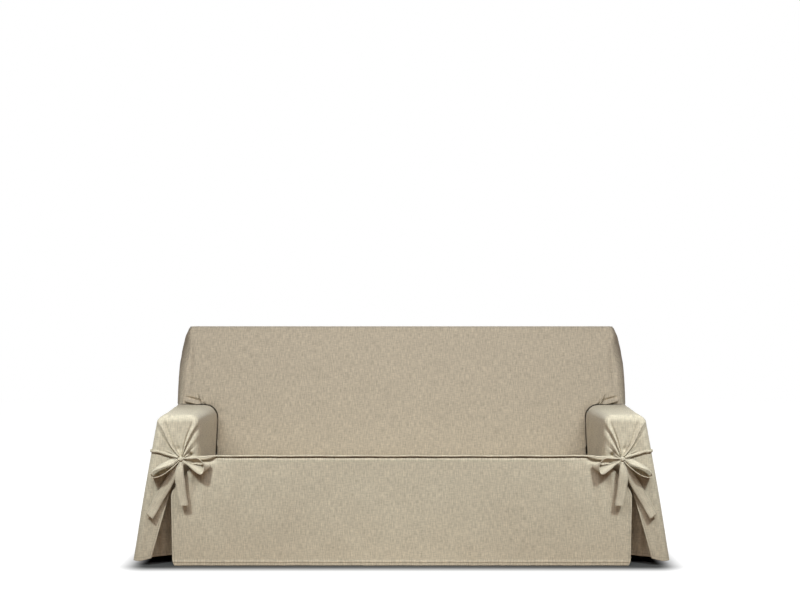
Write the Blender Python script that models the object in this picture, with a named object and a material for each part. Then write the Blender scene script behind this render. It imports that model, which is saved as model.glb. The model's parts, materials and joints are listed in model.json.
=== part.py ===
"""Slipcover of a three-seater sofa, tied with a bow at the front of each arm.

The cover hangs as it does on its sofa: a raked inside back that turns over the top, a seat that slopes down to it,
a front skirt to the floor, and arm covers that are drawn together at the arm's front and fall open below as a pleat.
Metres, +Z up, the front towards -Y, the origin on the floor in the middle of the cover.

Surfaces are worked out for the right side in three measures: out (sideways from the middle), depth (back from the
front skirt) and height (up from the floor). The left side is their mirror image.
"""
import bmesh
import bpy
import numpy as np

# Driving dimensions.
CLOTH = 0.002            # one layer of the woven cloth
TAPE = 0.0025            # the sewn double layer of the ties
HEM = 0.015              # height of the turned hem
HEM_EXTRA = 0.001        # what the turned layer adds to the cloth there
HEM_FOOT = 0.002         # how high the rear hems hang above the floor
SEWN = 0.0004            # between pieces that are sewn together
CLEAR = 0.0009           # where pieces meet at an angle: the arm covers, and the top of the back

DEPTH = 0.90             # front skirt to outside back
BOW_REACH = 0.050        # how far the bows stand out in front of the skirt
FRONT_Y = (BOW_REACH - DEPTH) / 2

SEAT_EDGE = 0.4455       # height of the seat's front edge
SEAT_FALL = 0.130        # how much the seat drops for each metre of depth
PIPING = (0.0033, 0.0036)     # half depth and half height of the rolled edge
PIPING_END = 0.748       # how far out it runs straight

ARM_OUTER = (1.000, 1.0155)   # half of the width across the arms, at the front and at the backrest
ARM_INNER = 0.823
ARM_TOP = 0.610
ARM_FRONT = 0.012        # depth of the arm's front face
ARM_BACK = 0.620         # depth of the seam between the arm's outer side and the backrest's side
ARM_INNER_EDGE = (0.036, 0.060)   # radius of the arm's long inner top edge, at the front and at the back
ARM_OUTER_EDGE = (0.038, 0.016)   # and of its outer one
ARM_NOSE = (0.030, 0.034)     # radius of the arm's front edge, at the top and at the hem
ARM_HEM = (0.017, 0.003)      # height of the hem, at the front and at the back

FLARE = 0.108            # how far the arm's cloth swings out at the floor
FLARE_HEIGHT = 0.59      # where it starts to swing out
FLARE_BACK = 0.35        # share of the flare that is left at the back

BACK_HALF = 1.0155       # half of the backrest's width
BACK_TOP = 0.957
BACK_POINT = (0.62, 0.62)     # depth and height of one point of the inside back
BACK_RAKE = 0.356        # depth gained for each metre of height
BACK_EDGE = 0.018        # radius of its top front edge
BACK_SIDE = (0.047, 0.070)    # how far the rounded side edge reaches in and back
SEAM_ANGLE = np.radians(20)   # where on that edge the side panel is sewn on
TOP_SEAM = np.pi / 4     # where on the top front edge's quarter round the top panel is sewn on
OUTSIDE_LEAN = 0.018     # how much the outside back leans in at its top
ABOVE_ARM = (0.602, 0.614)    # heights between which the backrest's side changes from hanging to fitted
TOP_ROWS = (0.03, 0.08, 0.16, 0.35, 1.0)      # how far over the top each row of its cloth lies
TOP_RIM = 0.0015         # how far the top's cloth reaches over the side's

KNOT = np.array([0.8945, -0.012, 0.4335])     # out, depth, height
KNOT_SIZE = np.array([0.0145, 0.0110, 0.0120])
GATHER = 0.010           # radius of the hole that the drawn cloth leaves behind the knot

# Folds that run from the knot up over the arm's front: direction (degrees from straight up, outwards positive),
# height, half width at 0.1 m from the knot, and the distance along the cloth at which they fade out.
ARM_FOLDS = (
    (36.0, 0.0095, 0.0060, 0.230),
    (-25.0, 0.0090, 0.0060, 0.210),
    (-50.0, 0.0040, 0.0080, 0.090),
    (8.0, 0.0025, 0.0090, 0.120),
    (58.0, 0.0030, 0.0080, 0.100),
)

# Folds of the skirt below the end of the seat's edge: distance out at the top, distance out at the foot, height
# forwards, half width, and the height above the floor where they fade out.
SKIRT_FOLDS = (
    (0.846, 0.900, 0.0055, 0.013, 0.15),
    (0.812, 0.815, 0.0035, 0.015, 0.22),
    (0.752, 0.735, 0.0020, 0.020, 0.12),
)

# Creases of the inside back above each arm: out and height of the lower end, the way they point (degrees from
# straight up, inwards positive), length, height and half width.
BACK_FOLDS = (
    (0.868, 0.613, 38.0, 0.055, 0.0045, 0.009),
    (0.905, 0.613, 30.0, 0.065, 0.0040, 0.010),
    (0.945, 0.613, 12.0, 0.060, 0.0035, 0.010),
)

# Hanging waves of the arm's outer side: where along the depth, how far out at the hem, half width.
SIDE_WAVES = (
    (0.135, -0.012, 0.050),
    (0.270, 0.009, 0.060),
    (0.430, -0.007, 0.070),
)

# The bow's loops and hanging ends. Each row is a place along the ribbon, in centimetres from the knot's centre: the
# ribbon's middle (out, depth, up), the way its width points (out, depth, up), and its width.
OUTER_LOOP = (
    (1.40, -0.6, -0.3, 0.0, 0.6, 1.0, 0.8),
    (4.0, -1.4, -1.1, 0.1, 1.6, 2.0, 2.9),
    (7.2, -2.1, -2.5, 0.3, 3.0, 2.2, 3.7),
    (10.3, -1.9, -4.1, 0.2, 3.4, 1.2, 3.7),
    (12.0, -1.4, -5.9, 0.3, 3.5, 0.5, 3.6),
    (10.9, -1.1, -7.2, 0.3, 3.5, 0.6, 3.6),
    (8.0, -1.3, -6.5, 0.2, 3.4, 1.0, 3.6),
    (4.8, -1.4, -4.2, 0.2, 2.6, 1.5, 2.9),
    (1.30, -0.8, -1.0, 0.1, 1.0, 0.6, 0.8),
)
INNER_LOOP = (
    (-1.3, -0.80, 0.31, 0.0, 1.0, -0.8, 0.8),
    (-4.3, -1.8, 0.4, -0.5, 3.0, -1.6, 2.8),
    (-7.4, -2.2, 0.0, -1.2, 3.0, -1.6, 3.5),
    (-10.4, -1.9, -1.9, -2.4, 2.5, -0.6, 3.6),
    (-11.0, -1.7, -4.2, -2.6, 2.4, 0.6, 3.6),
    (-8.6, -1.7, -5.2, -1.6, 2.4, 1.8, 3.6),
    (-5.5, -1.8, -3.6, -1.2, 2.4, 1.4, 3.1),
    (-1.3, -0.8, -0.7, -0.2, 1.0, 0.5, 0.9),
)
OUTER_TAIL = (
    (0.5, 0.1, -1.3, 1.0, 0.2, 0.5, 0.9),
    (2.4, -0.2, -4.4, 0.9, 0.2, 0.5, 2.6),
    (4.3, 0.3, -8.2, 0.86, 0.1, 0.5, 3.6),
    (7.4, 0.9, -13.4, 0.86, 0.0, 0.5, 3.8),
    (9.8, 1.1, -17.4, 0.86, 0.0, 0.5, 3.8),
    (13.0, 0.9, -23.4, 0.76, 0.1, 0.65, 3.6),
)
INNER_TAIL = (
    (-0.1, -0.7, -1.2, 1.0, 0.0, 0.0, 1.3),
    (0.4, -1.3, -4.4, 1.0, 0.1, 0.0, 3.2),
    (0.3, -1.3, -8.0, 1.0, 0.0, 0.0, 3.8),
    (-0.3, -1.1, -13.0, 1.0, 0.0, 0.08, 3.8),
    (-0.9, -1.0, -16.4, 1.0, -0.1, 0.0, 3.6),
    (-1.4, -1.0, -18.7, 1.0, -0.2, 0.0, 3.2),
)

# The strap from the seat's edge to the knot, in metres: out, depth, height, half thickness, half height.
INNER_STRAP = (
    (0.7486, 0.0010, 0.4455, 0.0033, 0.0036),
    (0.7560, 0.0008, 0.4454, 0.0033, 0.0037),
    (0.7750, -0.0026, 0.4430, 0.0030, 0.0056),
    (0.7950, -0.0037, 0.4390, 0.0030, 0.0074),
    (0.8200, -0.0042, 0.4374, 0.0030, 0.0078),
    (0.8500, -0.0066, 0.4362, 0.0032, 0.0070),
    (0.8798, -0.0115, 0.4345, 0.0036, 0.0050),
)
# The strap from the arm's outer side to the knot: its direction from the knot (degrees from straight up), how far
# back along the side it starts, half thickness and half height at its start, midway and at the knot.
OUTER_STRAP = (73.0, 0.085, (0.0032, 0.0048), (0.0034, 0.0060), (0.0040, 0.0050))


def soft_step(value):
    """A smooth rise from 0 to 1 as the value goes from 0 to 1."""
    t = np.clip(value, 0.0, 1.0)
    return t * t * (3.0 - 2.0 * t)


def blend(start, end, share):
    """Mix two values by a share from 0 to 1."""
    return start + (end - start) * share


def spread(*stretches):
    """Positions along a grid: each stretch is (start, end, steps), and the last one keeps its end."""
    steps = [np.linspace(start, end, count, endpoint=False) for start, end, count in stretches]
    return np.append(np.concatenate(steps), stretches[-1][1])


def stack(out, depth, height):
    """Put three measures, broadcast to one shape, together as points."""
    return np.stack(np.broadcast_arrays(out, depth, height), axis=-1).astype(float)


def unit(vectors):
    """Vectors scaled to a length of one."""
    return vectors / np.linalg.norm(vectors, axis=-1, keepdims=True)


def normals(middle):
    """Unit normals of a grid of points, from the differences between neighbours."""
    return unit(np.cross(np.gradient(middle, axis=0), np.gradient(middle, axis=1)))


def both_sides(right):
    """A whole width from its right half, whose first row lies in the middle."""
    return np.concatenate([right[:0:-1] * np.array([-1.0, 1.0, 1.0]), right])


def smooth_rows(rows, steps):
    """Carry a smooth curve (Catmull-Rom) through the rows of a table, with the given steps between rows."""
    table = np.array(rows, float)
    padded = np.concatenate([2 * table[:1] - table[1:2], table, 2 * table[-1:] - table[-2:-1]])
    t = np.linspace(0.0, 1.0, steps, endpoint=False)[None, :, None]
    p0, p1, p2, p3 = (padded[i:len(padded) - 3 + i, None, :] for i in range(4))
    curve = 0.5 * (2 * p1 + (p2 - p0) * t + (2 * p0 - 5 * p1 + 4 * p2 - p3) * t**2
                   + (3 * p1 - p0 - 3 * p2 + p3) * t**3)
    return np.concatenate([curve.reshape(-1, table.shape[1]), table[-1:]])


# ------------------------------------------------------------------ meshes

def cloth_material(name, colour):
    """A plain woven cloth: one matte colour."""
    material = bpy.data.materials.new(name)
    material.use_nodes = True
    shader = material.node_tree.nodes["Principled BSDF"]
    shader.inputs["Base Color"].default_value = (*colour, 1.0)
    shader.inputs["Roughness"].default_value = 0.92
    shader.inputs["Metallic"].default_value = 0.0
    return material


def add_piece(name, points, triangles, side=1, colour=(0.47, 0.41, 0.32)):
    """Add one closed piece. Its points are out, depth and height, and side -1 mirrors it to the left."""
    place = np.array([side, 1.0, 1.0])
    world = points.reshape(-1, 3) * place + np.array([0.0, FRONT_Y, 0.0])
    mesh = bpy.data.meshes.new(name)
    mesh.from_pydata(world.tolist(), [], triangles.tolist())
    skin = bmesh.new()
    skin.from_mesh(mesh)
    bmesh.ops.recalc_face_normals(skin, faces=skin.faces)
    skin.to_mesh(mesh)
    skin.free()
    mesh.shade_smooth()
    mesh.set_sharp_from_angle(angle=np.radians(50))
    mesh.materials.append(cloth_material(name, colour))
    piece = bpy.data.objects.new(name, mesh)
    bpy.context.scene.collection.objects.link(piece)
    return piece


def grid_triangles(rows, columns):
    """Two triangles for each cell of a grid, all with the same diagonal."""
    index = np.arange(rows * columns).reshape(rows, columns)
    a, b = index[:-1, :-1].ravel(), index[1:, :-1].ravel()
    c, d = index[1:, 1:].ravel(), index[:-1, 1:].ravel()
    return np.concatenate([np.stack([a, b, c], axis=1), np.stack([a, c, d], axis=1)])


def add_sheet(name, middle, thickness=CLOTH, side=1, **look):
    """Add a sheet: its middle surface moved half a thickness each way along its normals, closed by a rim."""
    rows, columns = middle.shape[:2]
    half = normals(middle) * (np.broadcast_to(thickness, (rows, columns)) / 2)[..., None]
    skin = grid_triangles(rows, columns)
    index = np.arange(rows * columns).reshape(rows, columns)
    edge = np.concatenate([index[0, :-1], index[:-1, -1], index[-1, :0:-1], index[:0:-1, 0]])
    ahead = np.roll(edge, -1)
    under = rows * columns
    rim = np.concatenate([
        np.stack([edge, ahead, ahead + under], axis=1),
        np.stack([edge, ahead + under, edge + under], axis=1),
    ])
    triangles = np.concatenate([skin, skin[:, ::-1] + under, rim])
    return add_piece(name, np.stack([middle + half, middle - half]), triangles, side, **look)


def add_tube(name, rings, side=1, **look):
    """Add a closed tube from its rings of points, with a fan of triangles over each end."""
    count, sides = rings.shape[:2]
    skin = grid_triangles(count, sides + 1)
    row, column = np.divmod(skin, sides + 1)
    skin = row * sides + column % sides
    ring = np.arange(sides)
    ahead = np.roll(ring, -1)
    last = (count - 1) * sides
    caps = np.concatenate([
        np.stack([np.full(sides, count * sides), ahead, ring], axis=1),
        np.stack([np.full(sides, count * sides + 1), ring + last, ahead + last], axis=1),
    ])
    ends = np.stack([rings[0].mean(axis=0), rings[-1].mean(axis=0)])
    points = np.concatenate([rings.reshape(-1, 3), ends])
    return add_piece(name, points, np.concatenate([skin, caps]), side, **look)


# ------------------------------------------------------------------ shared shapes

def seat_height(depth):
    """The seat slopes evenly down from its front edge."""
    return SEAT_EDGE - SEAT_FALL * depth


def back_face(height):
    """Depth of the raked inside back at a height, with the round of its top edge."""
    flat = np.minimum(height, BACK_TOP - BACK_EDGE)
    rise = np.clip((height - BACK_TOP + BACK_EDGE) / BACK_EDGE, 0.0, 1.0)
    return BACK_POINT[0] + BACK_RAKE * (flat - BACK_POINT[1]) + BACK_EDGE * (1.0 - np.sqrt(1.0 - rise**2))


def outside_back(height):
    """Depth of the outside back, which leans in a little towards its top."""
    return DEPTH - OUTSIDE_LEAN * height / BACK_TOP


def arm_side(depth):
    """How far out the arm's outer side stands at its top: a little wider towards the back."""
    return blend(*ARM_OUTER, np.clip(depth / 0.75, 0.0, 1.0) ** 2)


def flare(depth, height):
    """How far the hanging cloth swings out: nearly straight down from FLARE_HEIGHT, less towards the back."""
    fall = np.clip((FLARE_HEIGHT - height) / (FLARE_HEIGHT - ARM_HEM[0]), 0.0, 1.1)
    share = blend(1.0, FLARE_BACK, soft_step(depth / ARM_BACK))
    waves = sum(reach * np.exp(-((depth - place) / width) ** 2) for place, reach, width in SIDE_WAVES)
    return share * FLARE * fall * (1.0 - 0.095 * fall) + waves * fall**1.5


def back_half(height):
    """Half width of the backrest: upright, then drawn in along a curve to its top corners."""
    t = np.clip((height - 0.72) / (BACK_TOP - 0.72), 0.0, 1.0)
    return BACK_HALF - 0.006 * t - 0.040 * t**3


def side_reach(height):
    """How far the rounded side edge reaches in and back at a height: fullest at 0.85, least at the top."""
    share = blend(1.0, 0.35, soft_step((height - 0.87) / 0.087)) + 0.25 * np.exp(-(((height - 0.84) / 0.05) ** 2))
    return BACK_SIDE[0] * share, BACK_SIDE[1] * share


def side_edge(angle, height):
    """A point of the backrest's rounded side edge: angle 0 is its front face, a right angle its side."""
    reach_in, reach_back = side_reach(height)
    out = back_half(height) - reach_in * (1.0 - np.sin(angle))
    return out, back_face(height) + reach_back * (1.0 - np.cos(angle))


def hem_thickness(height, across):
    """Cloth thickness, with the turned layer at the foot."""
    turned = np.clip((HEM + HEM_FOOT - height) / HEM_FOOT, 0.0, 1.0)
    return CLOTH + HEM_EXTRA * np.broadcast_to(turned, np.broadcast_shapes(turned.shape, across.shape))


# ------------------------------------------------------------------ backrest

def edge_heights(turn):
    """Heights on the round of the top front edge: angle 0 is its start on the face, a right angle its top."""
    return BACK_TOP - BACK_EDGE * (1.0 - np.sin(turn))


def upper_rows():
    """Heights of the backrest's rows above the arms, with the round of its top front edge."""
    return np.concatenate([spread((0.68, BACK_TOP - BACK_EDGE, 5))[:-1], edge_heights(np.linspace(0.0, np.pi / 2, 5))])


def full_rows(top):
    """Heights of the rows of a panel that hangs from the backrest's top to the floor."""
    low = spread((HEM_FOOT, HEM, 1), (HEM, HEM + HEM_FOOT, 1), (HEM + HEM_FOOT, ABOVE_ARM[0], 4), (*ABOVE_ARM, 2),
                 (ABOVE_ARM[1], 0.68, 1))
    upper = upper_rows()
    return np.concatenate([low[:-1], upper[upper < top - 0.001], [top]])[None, :]


def face_rows(foot):
    """Heights of the inside back's rows, from its foot up to the seam at the top front edge."""
    upper = upper_rows()
    seam = edge_heights(TOP_SEAM - CLEAR / 2 / BACK_EDGE)
    return np.concatenate([foot, upper[upper < seam - CLEAR], [seam]])[None, :]


def back_cloth(flat, height, over=0.0):
    """Middle surface of a stretch of the inside back or of the top, whose last columns turn round the side edge.

    flat holds the distances out of the columns on the face. over is how far over the top each row lies, from 0 at
    the front to 1 at the seam with the outside back.
    """
    angle = np.linspace(0.0, SEAM_ANGLE, 4)[:, None]
    edge, edge_depth = side_edge(angle, height)
    depth = np.concatenate([back_face(height) + 0.0 * flat, edge_depth])
    depth = blend(depth, outside_back(BACK_TOP), over)

    reach_in, reach_back = side_reach(BACK_TOP)
    round_out = np.arccos(np.clip(1.0 - (depth[-4:] - back_face(BACK_TOP)) / reach_back, 0.0, 1.0))
    rim = back_half(BACK_TOP) - reach_in * (1.0 - np.sin(round_out)) + TOP_RIM
    edge = np.where(over > 0, blend(side_edge(0.0, height)[0], rim, angle / SEAM_ANGLE), edge)
    out = np.concatenate([flat + 0.0 * height, edge])
    return stack(out, depth + back_folds(out, height), height)


def back_folds(out, height):
    """Depth that the creases above the arm take off the inside back."""
    lift = 0.0
    for foot_out, foot_height, lean, length, rise, width in BACK_FOLDS:
        lean = np.radians(lean)
        sideways, up = out - foot_out, height - foot_height
        across = sideways * np.cos(lean) + up * np.sin(lean)
        along = up * np.cos(lean) - sideways * np.sin(lean)
        lift = lift - rise * np.exp(-((across / width) ** 2)) * (1.0 - soft_step(along / length))
    return lift


def arm_cutter(side, word):
    """A guide solid a little larger than an arm's section, which shapes the lower corner of the inside back."""
    grow = CLOTH / 2 + CLEAR
    corner = ARM_INNER_EDGE[1] + grow
    turn = np.linspace(0.0, np.pi / 2, 7)
    beyond, low = 1.20, 0.30
    out = np.concatenate([[ARM_INNER - grow], ARM_INNER - grow + corner * (1.0 - np.cos(turn)), [beyond, beyond]])
    top = ARM_TOP + grow
    height = np.concatenate([[low], top - corner * (1.0 - np.sin(turn)), [top, low]])
    rings = np.stack([stack(out, depth, height) for depth in (0.45, 0.80)])
    cutter = add_tube(f"arm_cutter_{word}", rings, side)
    cutter.hide_render = True
    cutter.display_type = "WIRE"
    return cutter


def build_inside_back():
    """The inside back between the arms, from the seat up to the seam with the top."""
    foot = seat_height(0.534) + CLOTH / 2 + 2 * SEWN
    height = face_rows(spread((foot, 0.60, 3), (0.60, 0.68, 4))[:-1])
    out = np.linspace(0.0, ARM_INNER - CLOTH / 2 - CLEAR, 6)[:, None]
    middle = stack(out, back_face(height) + back_folds(out, height), height)
    add_sheet("inside_back", both_sides(middle), colour=(0.46, 0.39, 0.30))


def build_back_wing(side, word):
    """The inside back above one arm, cut out round the arm's inner corner."""
    height = face_rows(spread((0.52, 0.60, 3), (0.60, 0.68, 5))[:-1])
    share = np.linspace(0.0, 1.0, 8)[:-1, None]
    flat = blend(ARM_INNER - CLOTH / 2 - CLEAR + SEWN, side_edge(0.0, height)[0], share)
    piece = add_sheet(f"back_wing_{word}", back_cloth(flat, height), side=side, colour=(0.46, 0.39, 0.30))
    cut = piece.modifiers.new("arm", "BOOLEAN")
    cut.operation = "DIFFERENCE"
    cut.solver = "EXACT"
    cut.object = arm_cutter(side, word)


def build_back_top():
    """The top panel, from the seam at the top front edge back to the outside back."""
    rise = edge_heights(np.array([TOP_SEAM + CLEAR / 2 / BACK_EDGE, 0.75 * np.pi / 2, np.pi / 2]))
    height = np.append(rise, np.full(len(TOP_ROWS), BACK_TOP))[None, :]
    over = np.append(0.0 * rise, TOP_ROWS)[None, :]
    flat = np.linspace(0.0, 1.0, 6)[:-1, None] * side_edge(0.0, height)[0]
    add_sheet("back_top", both_sides(back_cloth(flat, height, over)), colour=(0.46, 0.39, 0.30))


def back_side(across, height):
    """The middle surface of the backrest's side, from its front seam (across 0) to the outside back (1).

    Above the arm it turns round the side edge and then runs straight back. Below it hangs with the arm's flare.
    """
    turned = np.clip(across / 0.45, 0.0, 1.0)
    straight = np.clip((across - 0.45) / 0.55, 0.0, 1.0)
    start = SEAM_ANGLE + 1.8 * SEWN / side_reach(height)[0]
    upper_out, upper_depth = side_edge(blend(start, np.pi / 2, turned), height)
    rear = outside_back(height)
    upper_depth = blend(upper_depth, rear, straight)
    lower_depth = blend(ARM_BACK + SEWN, rear, across)
    above = soft_step((height - ABOVE_ARM[0]) / (ABOVE_ARM[1] - ABOVE_ARM[0]))
    out = blend(arm_side(lower_depth) + flare(lower_depth, height), upper_out, above)
    return out, blend(lower_depth, upper_depth, above)


def build_back_side(side, word):
    """The backrest's side: sewn to the rounded edge above the arm, straight down to the floor below it."""
    height = full_rows(BACK_TOP - 0.0025)
    across = spread((0.0, 0.45, 4), (0.45, 1.0, 3))[:, None]
    out, depth = back_side(across, height)
    add_sheet(f"back_side_{word}", stack(out, depth, height), hem_thickness(height, across), side)


def build_outside_back():
    """The rear panel, from the top seam to the floor, with soft waves towards its foot."""
    height = full_rows(BACK_TOP - CLOTH / 2 - SEWN)
    across = np.linspace(0.0, 1.0, 8)[:, None]
    half = back_side(1.0, height)[0] - (CLOTH + HEM_EXTRA) / 2 - SEWN
    wave = 0.004 * (1.0 + np.cos(5 * np.pi * across)) * (1.0 - height / BACK_TOP)
    depth = outside_back(height) - (CLOTH + HEM_EXTRA) / 2 - wave
    right = stack(across * half, depth, height)
    thickness = hem_thickness(height, across)
    add_sheet("outside_back", both_sides(right), np.concatenate([thickness[:0:-1], thickness]))


# ------------------------------------------------------------------ seat and skirt

def build_seat():
    """The seat deck, between the arms, from the piping to the inside back."""
    depth = np.linspace(PIPING[0] + 0.001 + SEWN, 0.538, 6)[None, :]
    out = np.linspace(0.0, 1.0, 7)[:, None] * (ARM_INNER - CLOTH / 2 - CLEAR)
    sag = 0.004 * np.sin(np.pi * depth / 0.54) * np.cos(np.pi * out / 1.7)
    add_sheet("seat_panel", both_sides(stack(out, depth, seat_height(depth) - sag)))


def build_piping():
    """The rolled edge along the seat's front, almost straight."""
    along = np.linspace(-1.0, 1.0, 21)
    sway = 0.0006 * np.sin(7 * np.pi * along)
    turn = np.linspace(0.0, 2 * np.pi, 9)[:-1]
    rings = stack(along[:, None] * PIPING_END, 0.001 + PIPING[0] * np.cos(turn)[None, :],
                  (SEAT_EDGE + sway)[:, None] + PIPING[1] * np.sin(turn)[None, :])
    add_tube("seat_piping", rings)


def skirt_half(height):
    """Half width of the skirt: upright, then swept in to its top corner, with a rounded foot."""
    foot = 0.008 * np.clip(1.0 - height / 0.03, 0.0, 1.0) ** 2
    return 0.932 + 0.005 * np.clip(height / 0.28, 0.0, 1.0) - 0.0854 * soft_step((height - 0.28) / 0.1455) - foot


def build_skirt():
    """The front skirt, turned back under the piping at its top, with folds below each tied corner."""
    share = spread((0.0, 0.72, 4), (0.72, 1.0, 11))[:, None]
    rise = np.concatenate([[0.0, 0.034, 0.0385], np.linspace(0.16, 0.985, 9), [1.0]])[None, :]
    top = 0.4408 - 0.0085 * soft_step((share * skirt_half(SEAT_EDGE) - 0.752) / 0.060)
    low = 0.0006
    height = low + rise * (top - low)
    out = share * skirt_half(height)
    depth = CLOTH / 2 + 0.0012 * (1.0 + np.cos(9 * np.pi * share)) * (1.0 - rise)
    for top_out, foot_out, forward, width, fade in SKIRT_FOLDS:
        centre = blend(foot_out, top_out, rise)
        strength = soft_step((height - fade) / (0.40 - fade)) * (1.0 - 0.7 * soft_step((height - 0.40) / 0.03))
        depth = depth - forward * strength * np.exp(-((out - centre) / width) ** 2)
    depth = depth + 0.0025 * soft_step((rise - 0.98) / 0.02)
    thickness = hem_thickness(height, share)
    add_sheet("front_skirt", both_sides(stack(out, depth, height)), np.concatenate([thickness[:0:-1], thickness]))


# ------------------------------------------------------------------ arm cover

def arm_outline(column, depth):
    """A point of the arm's cross-section, out and height, and the way from there into the arm's face.

    The column number runs 0 to 1 up the inner side, 1 to 2 round its corner, 2 to 3 over the top, 3 to 4 round the
    outer corner and 4 to 5 down the outer side to the hem.
    """
    back, outer = soft_step(depth / ARM_BACK), arm_side(depth)
    inner_edge, outer_edge = blend(*ARM_INNER_EDGE, back), blend(*ARM_OUTER_EDGE, back)
    turn = np.pi / 2 * np.clip(np.where(column < 2.5, column - 1.0, column - 3.0), 0.0, 1.0)
    sine, cosine = np.sin(turn), np.cos(turn)
    stretches = [column < 1, column < 2, column < 3, column < 4]
    out = np.select(stretches, [
        ARM_INNER + 0.0 * back,
        ARM_INNER + inner_edge * (1.0 - cosine),
        blend(ARM_INNER + inner_edge, outer - outer_edge, column - 2.0),
        outer - outer_edge * (1.0 - sine),
    ], outer)
    height = np.select(stretches, [
        blend(seat_height(depth) - CLOTH / 2, ARM_TOP - inner_edge, column),
        ARM_TOP - inner_edge * (1.0 - sine),
        ARM_TOP + 0.0 * back,
        ARM_TOP - outer_edge * (1.0 - cosine),
    ], blend(ARM_TOP - outer_edge, blend(*ARM_HEM, back), column - 4.0))
    out = out + np.where(column >= 4, flare(depth, height), 0.0)
    into_out = np.select(stretches, [1.0, cosine, 0.0, -sine], -1.0)
    into_up = np.select(stretches, [0.0, -sine, -1.0, -cosine], 0.0)
    return out, height, into_out, into_up


def arm_nose(column):
    """Radius of the front edge: larger down the flap, where the cloth hangs free."""
    return blend(ARM_NOSE[0], ARM_NOSE[1], soft_step((column - 4.2) / 0.8))


def face_edge(column):
    """Where a column of the arm's outline comes round onto the front face: out and height."""
    nose = arm_nose(column)
    out, height, into_out, into_up = arm_outline(column, ARM_FRONT + nose)
    return out + into_out * nose, height + into_up * nose


def fan_columns(directions):
    """The columns that lie in given directions from the knot, in degrees from straight up."""
    column = np.linspace(0.0, 4.4, 441)
    out, height = face_edge(column)
    return np.interp(directions, np.degrees(np.arctan2(out - KNOT[0], height - KNOT[2])), column)


def flap_edge(height):
    """How far out the flap's free edge is: from the knot it falls in a slight curve to the hem."""
    fall = np.clip((0.42 - height) / (0.42 - 0.026), 0.0, 1.1)
    return 0.900 + 0.120 * fall**0.9


def arm_folds(direction, reach, fan_reach):
    """How far the folds that run to the knot stand out of the cloth.

    direction is the way of a column from the knot, reach the distance along it, and fan_reach the distance at which
    the columns stop spreading and run on side by side.
    """
    lift = 0.006 * np.exp(-((reach / 0.030) ** 2))
    for lean, rise, width, fade in ARM_FOLDS:
        across = np.minimum(reach, fan_reach) * (direction - np.radians(lean))
        wide = width * np.clip(0.35 + 6.5 * reach, 0.35, 2.0)
        strength = soft_step(reach / 0.02) * np.clip(1.0 - (reach / fade) ** 2, 0.0, 1.0)
        lift = lift + rise * strength * np.exp(-((across / wide) ** 2))
    return lift * (direction < np.radians(95))


def arm_surface(column, side_share, nose_share, face_share):
    """The arm cover's middle surface, a row of points for each column of the arm's outline.

    A column starts at the inside back, runs forward along the arm, turns round its front edge, and goes on over the
    front face: to the gather behind the knot, or below the knot to the flap's free edge.
    """
    column = np.asarray(column, float)[:, None]
    nose = arm_nose(column)
    rear_height = arm_outline(column, ARM_BACK)[1]
    rear = np.where(column < 4, back_face(rear_height) - CLEAR - CLOTH / 2, ARM_BACK)
    side_depth = blend(rear, ARM_FRONT + nose, np.asarray(side_share)[None, :])
    side_out, side_height, _, _ = arm_outline(column, side_depth)

    base_out, base_height, into_out, into_up = arm_outline(column, ARM_FRONT + nose)
    turn = np.asarray(nose_share)[None, :] * np.pi / 2
    inward = nose * (1.0 - np.cos(turn))
    nose_out, nose_height = base_out + into_out * inward, base_height + into_up * inward
    nose_depth = ARM_FRONT + nose * (1.0 - np.sin(turn))

    start_out, start_height = face_edge(column)
    direction = np.arctan2(start_out - KNOT[0], start_height - KNOT[2])
    hem = arm_outline(5.0, ARM_FRONT)[1]
    level = KNOT[2] - 0.004
    below = start_height < level
    flap_height = blend(0.028, KNOT[2] - GATHER, (start_height - hem) / (level - hem))
    end_out = np.where(below, flap_edge(flap_height), KNOT[0] + GATHER * np.sin(direction))
    end_height = np.where(below, flap_height, KNOT[2] + GATHER * np.cos(direction))
    share = np.asarray(face_share)[None, :]
    face_out, face_height = blend(start_out, end_out, share), blend(start_height, end_height, share)
    smooth = stack(np.concatenate([side_out, nose_out, face_out], axis=1),
                   np.concatenate([side_depth, nose_depth, ARM_FRONT + 0.0 * face_out], axis=1),
                   np.concatenate([side_height, nose_height, face_height], axis=1))
    steps = np.linalg.norm(np.diff(smooth, axis=1), axis=-1)
    reach = GATHER + np.cumsum(np.pad(steps, ((0, 0), (0, 1)))[:, ::-1], axis=1)[:, ::-1]
    fan_reach = np.hypot(start_out - KNOT[0], start_height - KNOT[2])
    outward = normals(smooth)
    outward = outward * np.sign(-outward[:, -1:, 1:2])
    return smooth + outward * arm_folds(direction, reach, fan_reach)[..., None]


def build_arm_cover(side, word):
    """One arm cover: inner side, top, outer side, drawn front and flap in a single cloth."""
    flanks = [lean + turn for lean, *_ in ARM_FOLDS for turn in (-6.0, -3.0, 0.0, 3.0, 6.0)]
    directions = np.concatenate([[-76.0, -64.0, -6.0, 22.0, 76.0, 92.0], flanks])
    fan = np.sort(np.concatenate([fan_columns(directions), np.linspace(1.0, 2.0, 5), np.linspace(3.0, 4.0, 5)]))
    fan = fan[np.append(True, np.diff(fan) > 0.04)]
    column = np.concatenate([[0.0], fan[fan > 0.03], spread((fan[-1], 5.0, 8))[1:]])
    middle = arm_surface(column, spread((0.0, 1.0, 5))[:-1], np.linspace(0.0, 1.0, 4)[:-1], np.linspace(0.0, 1.0, 7))
    add_sheet(f"arm_cover_{word}", middle, CLOTH, side, colour=(0.52, 0.46, 0.37))


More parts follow.
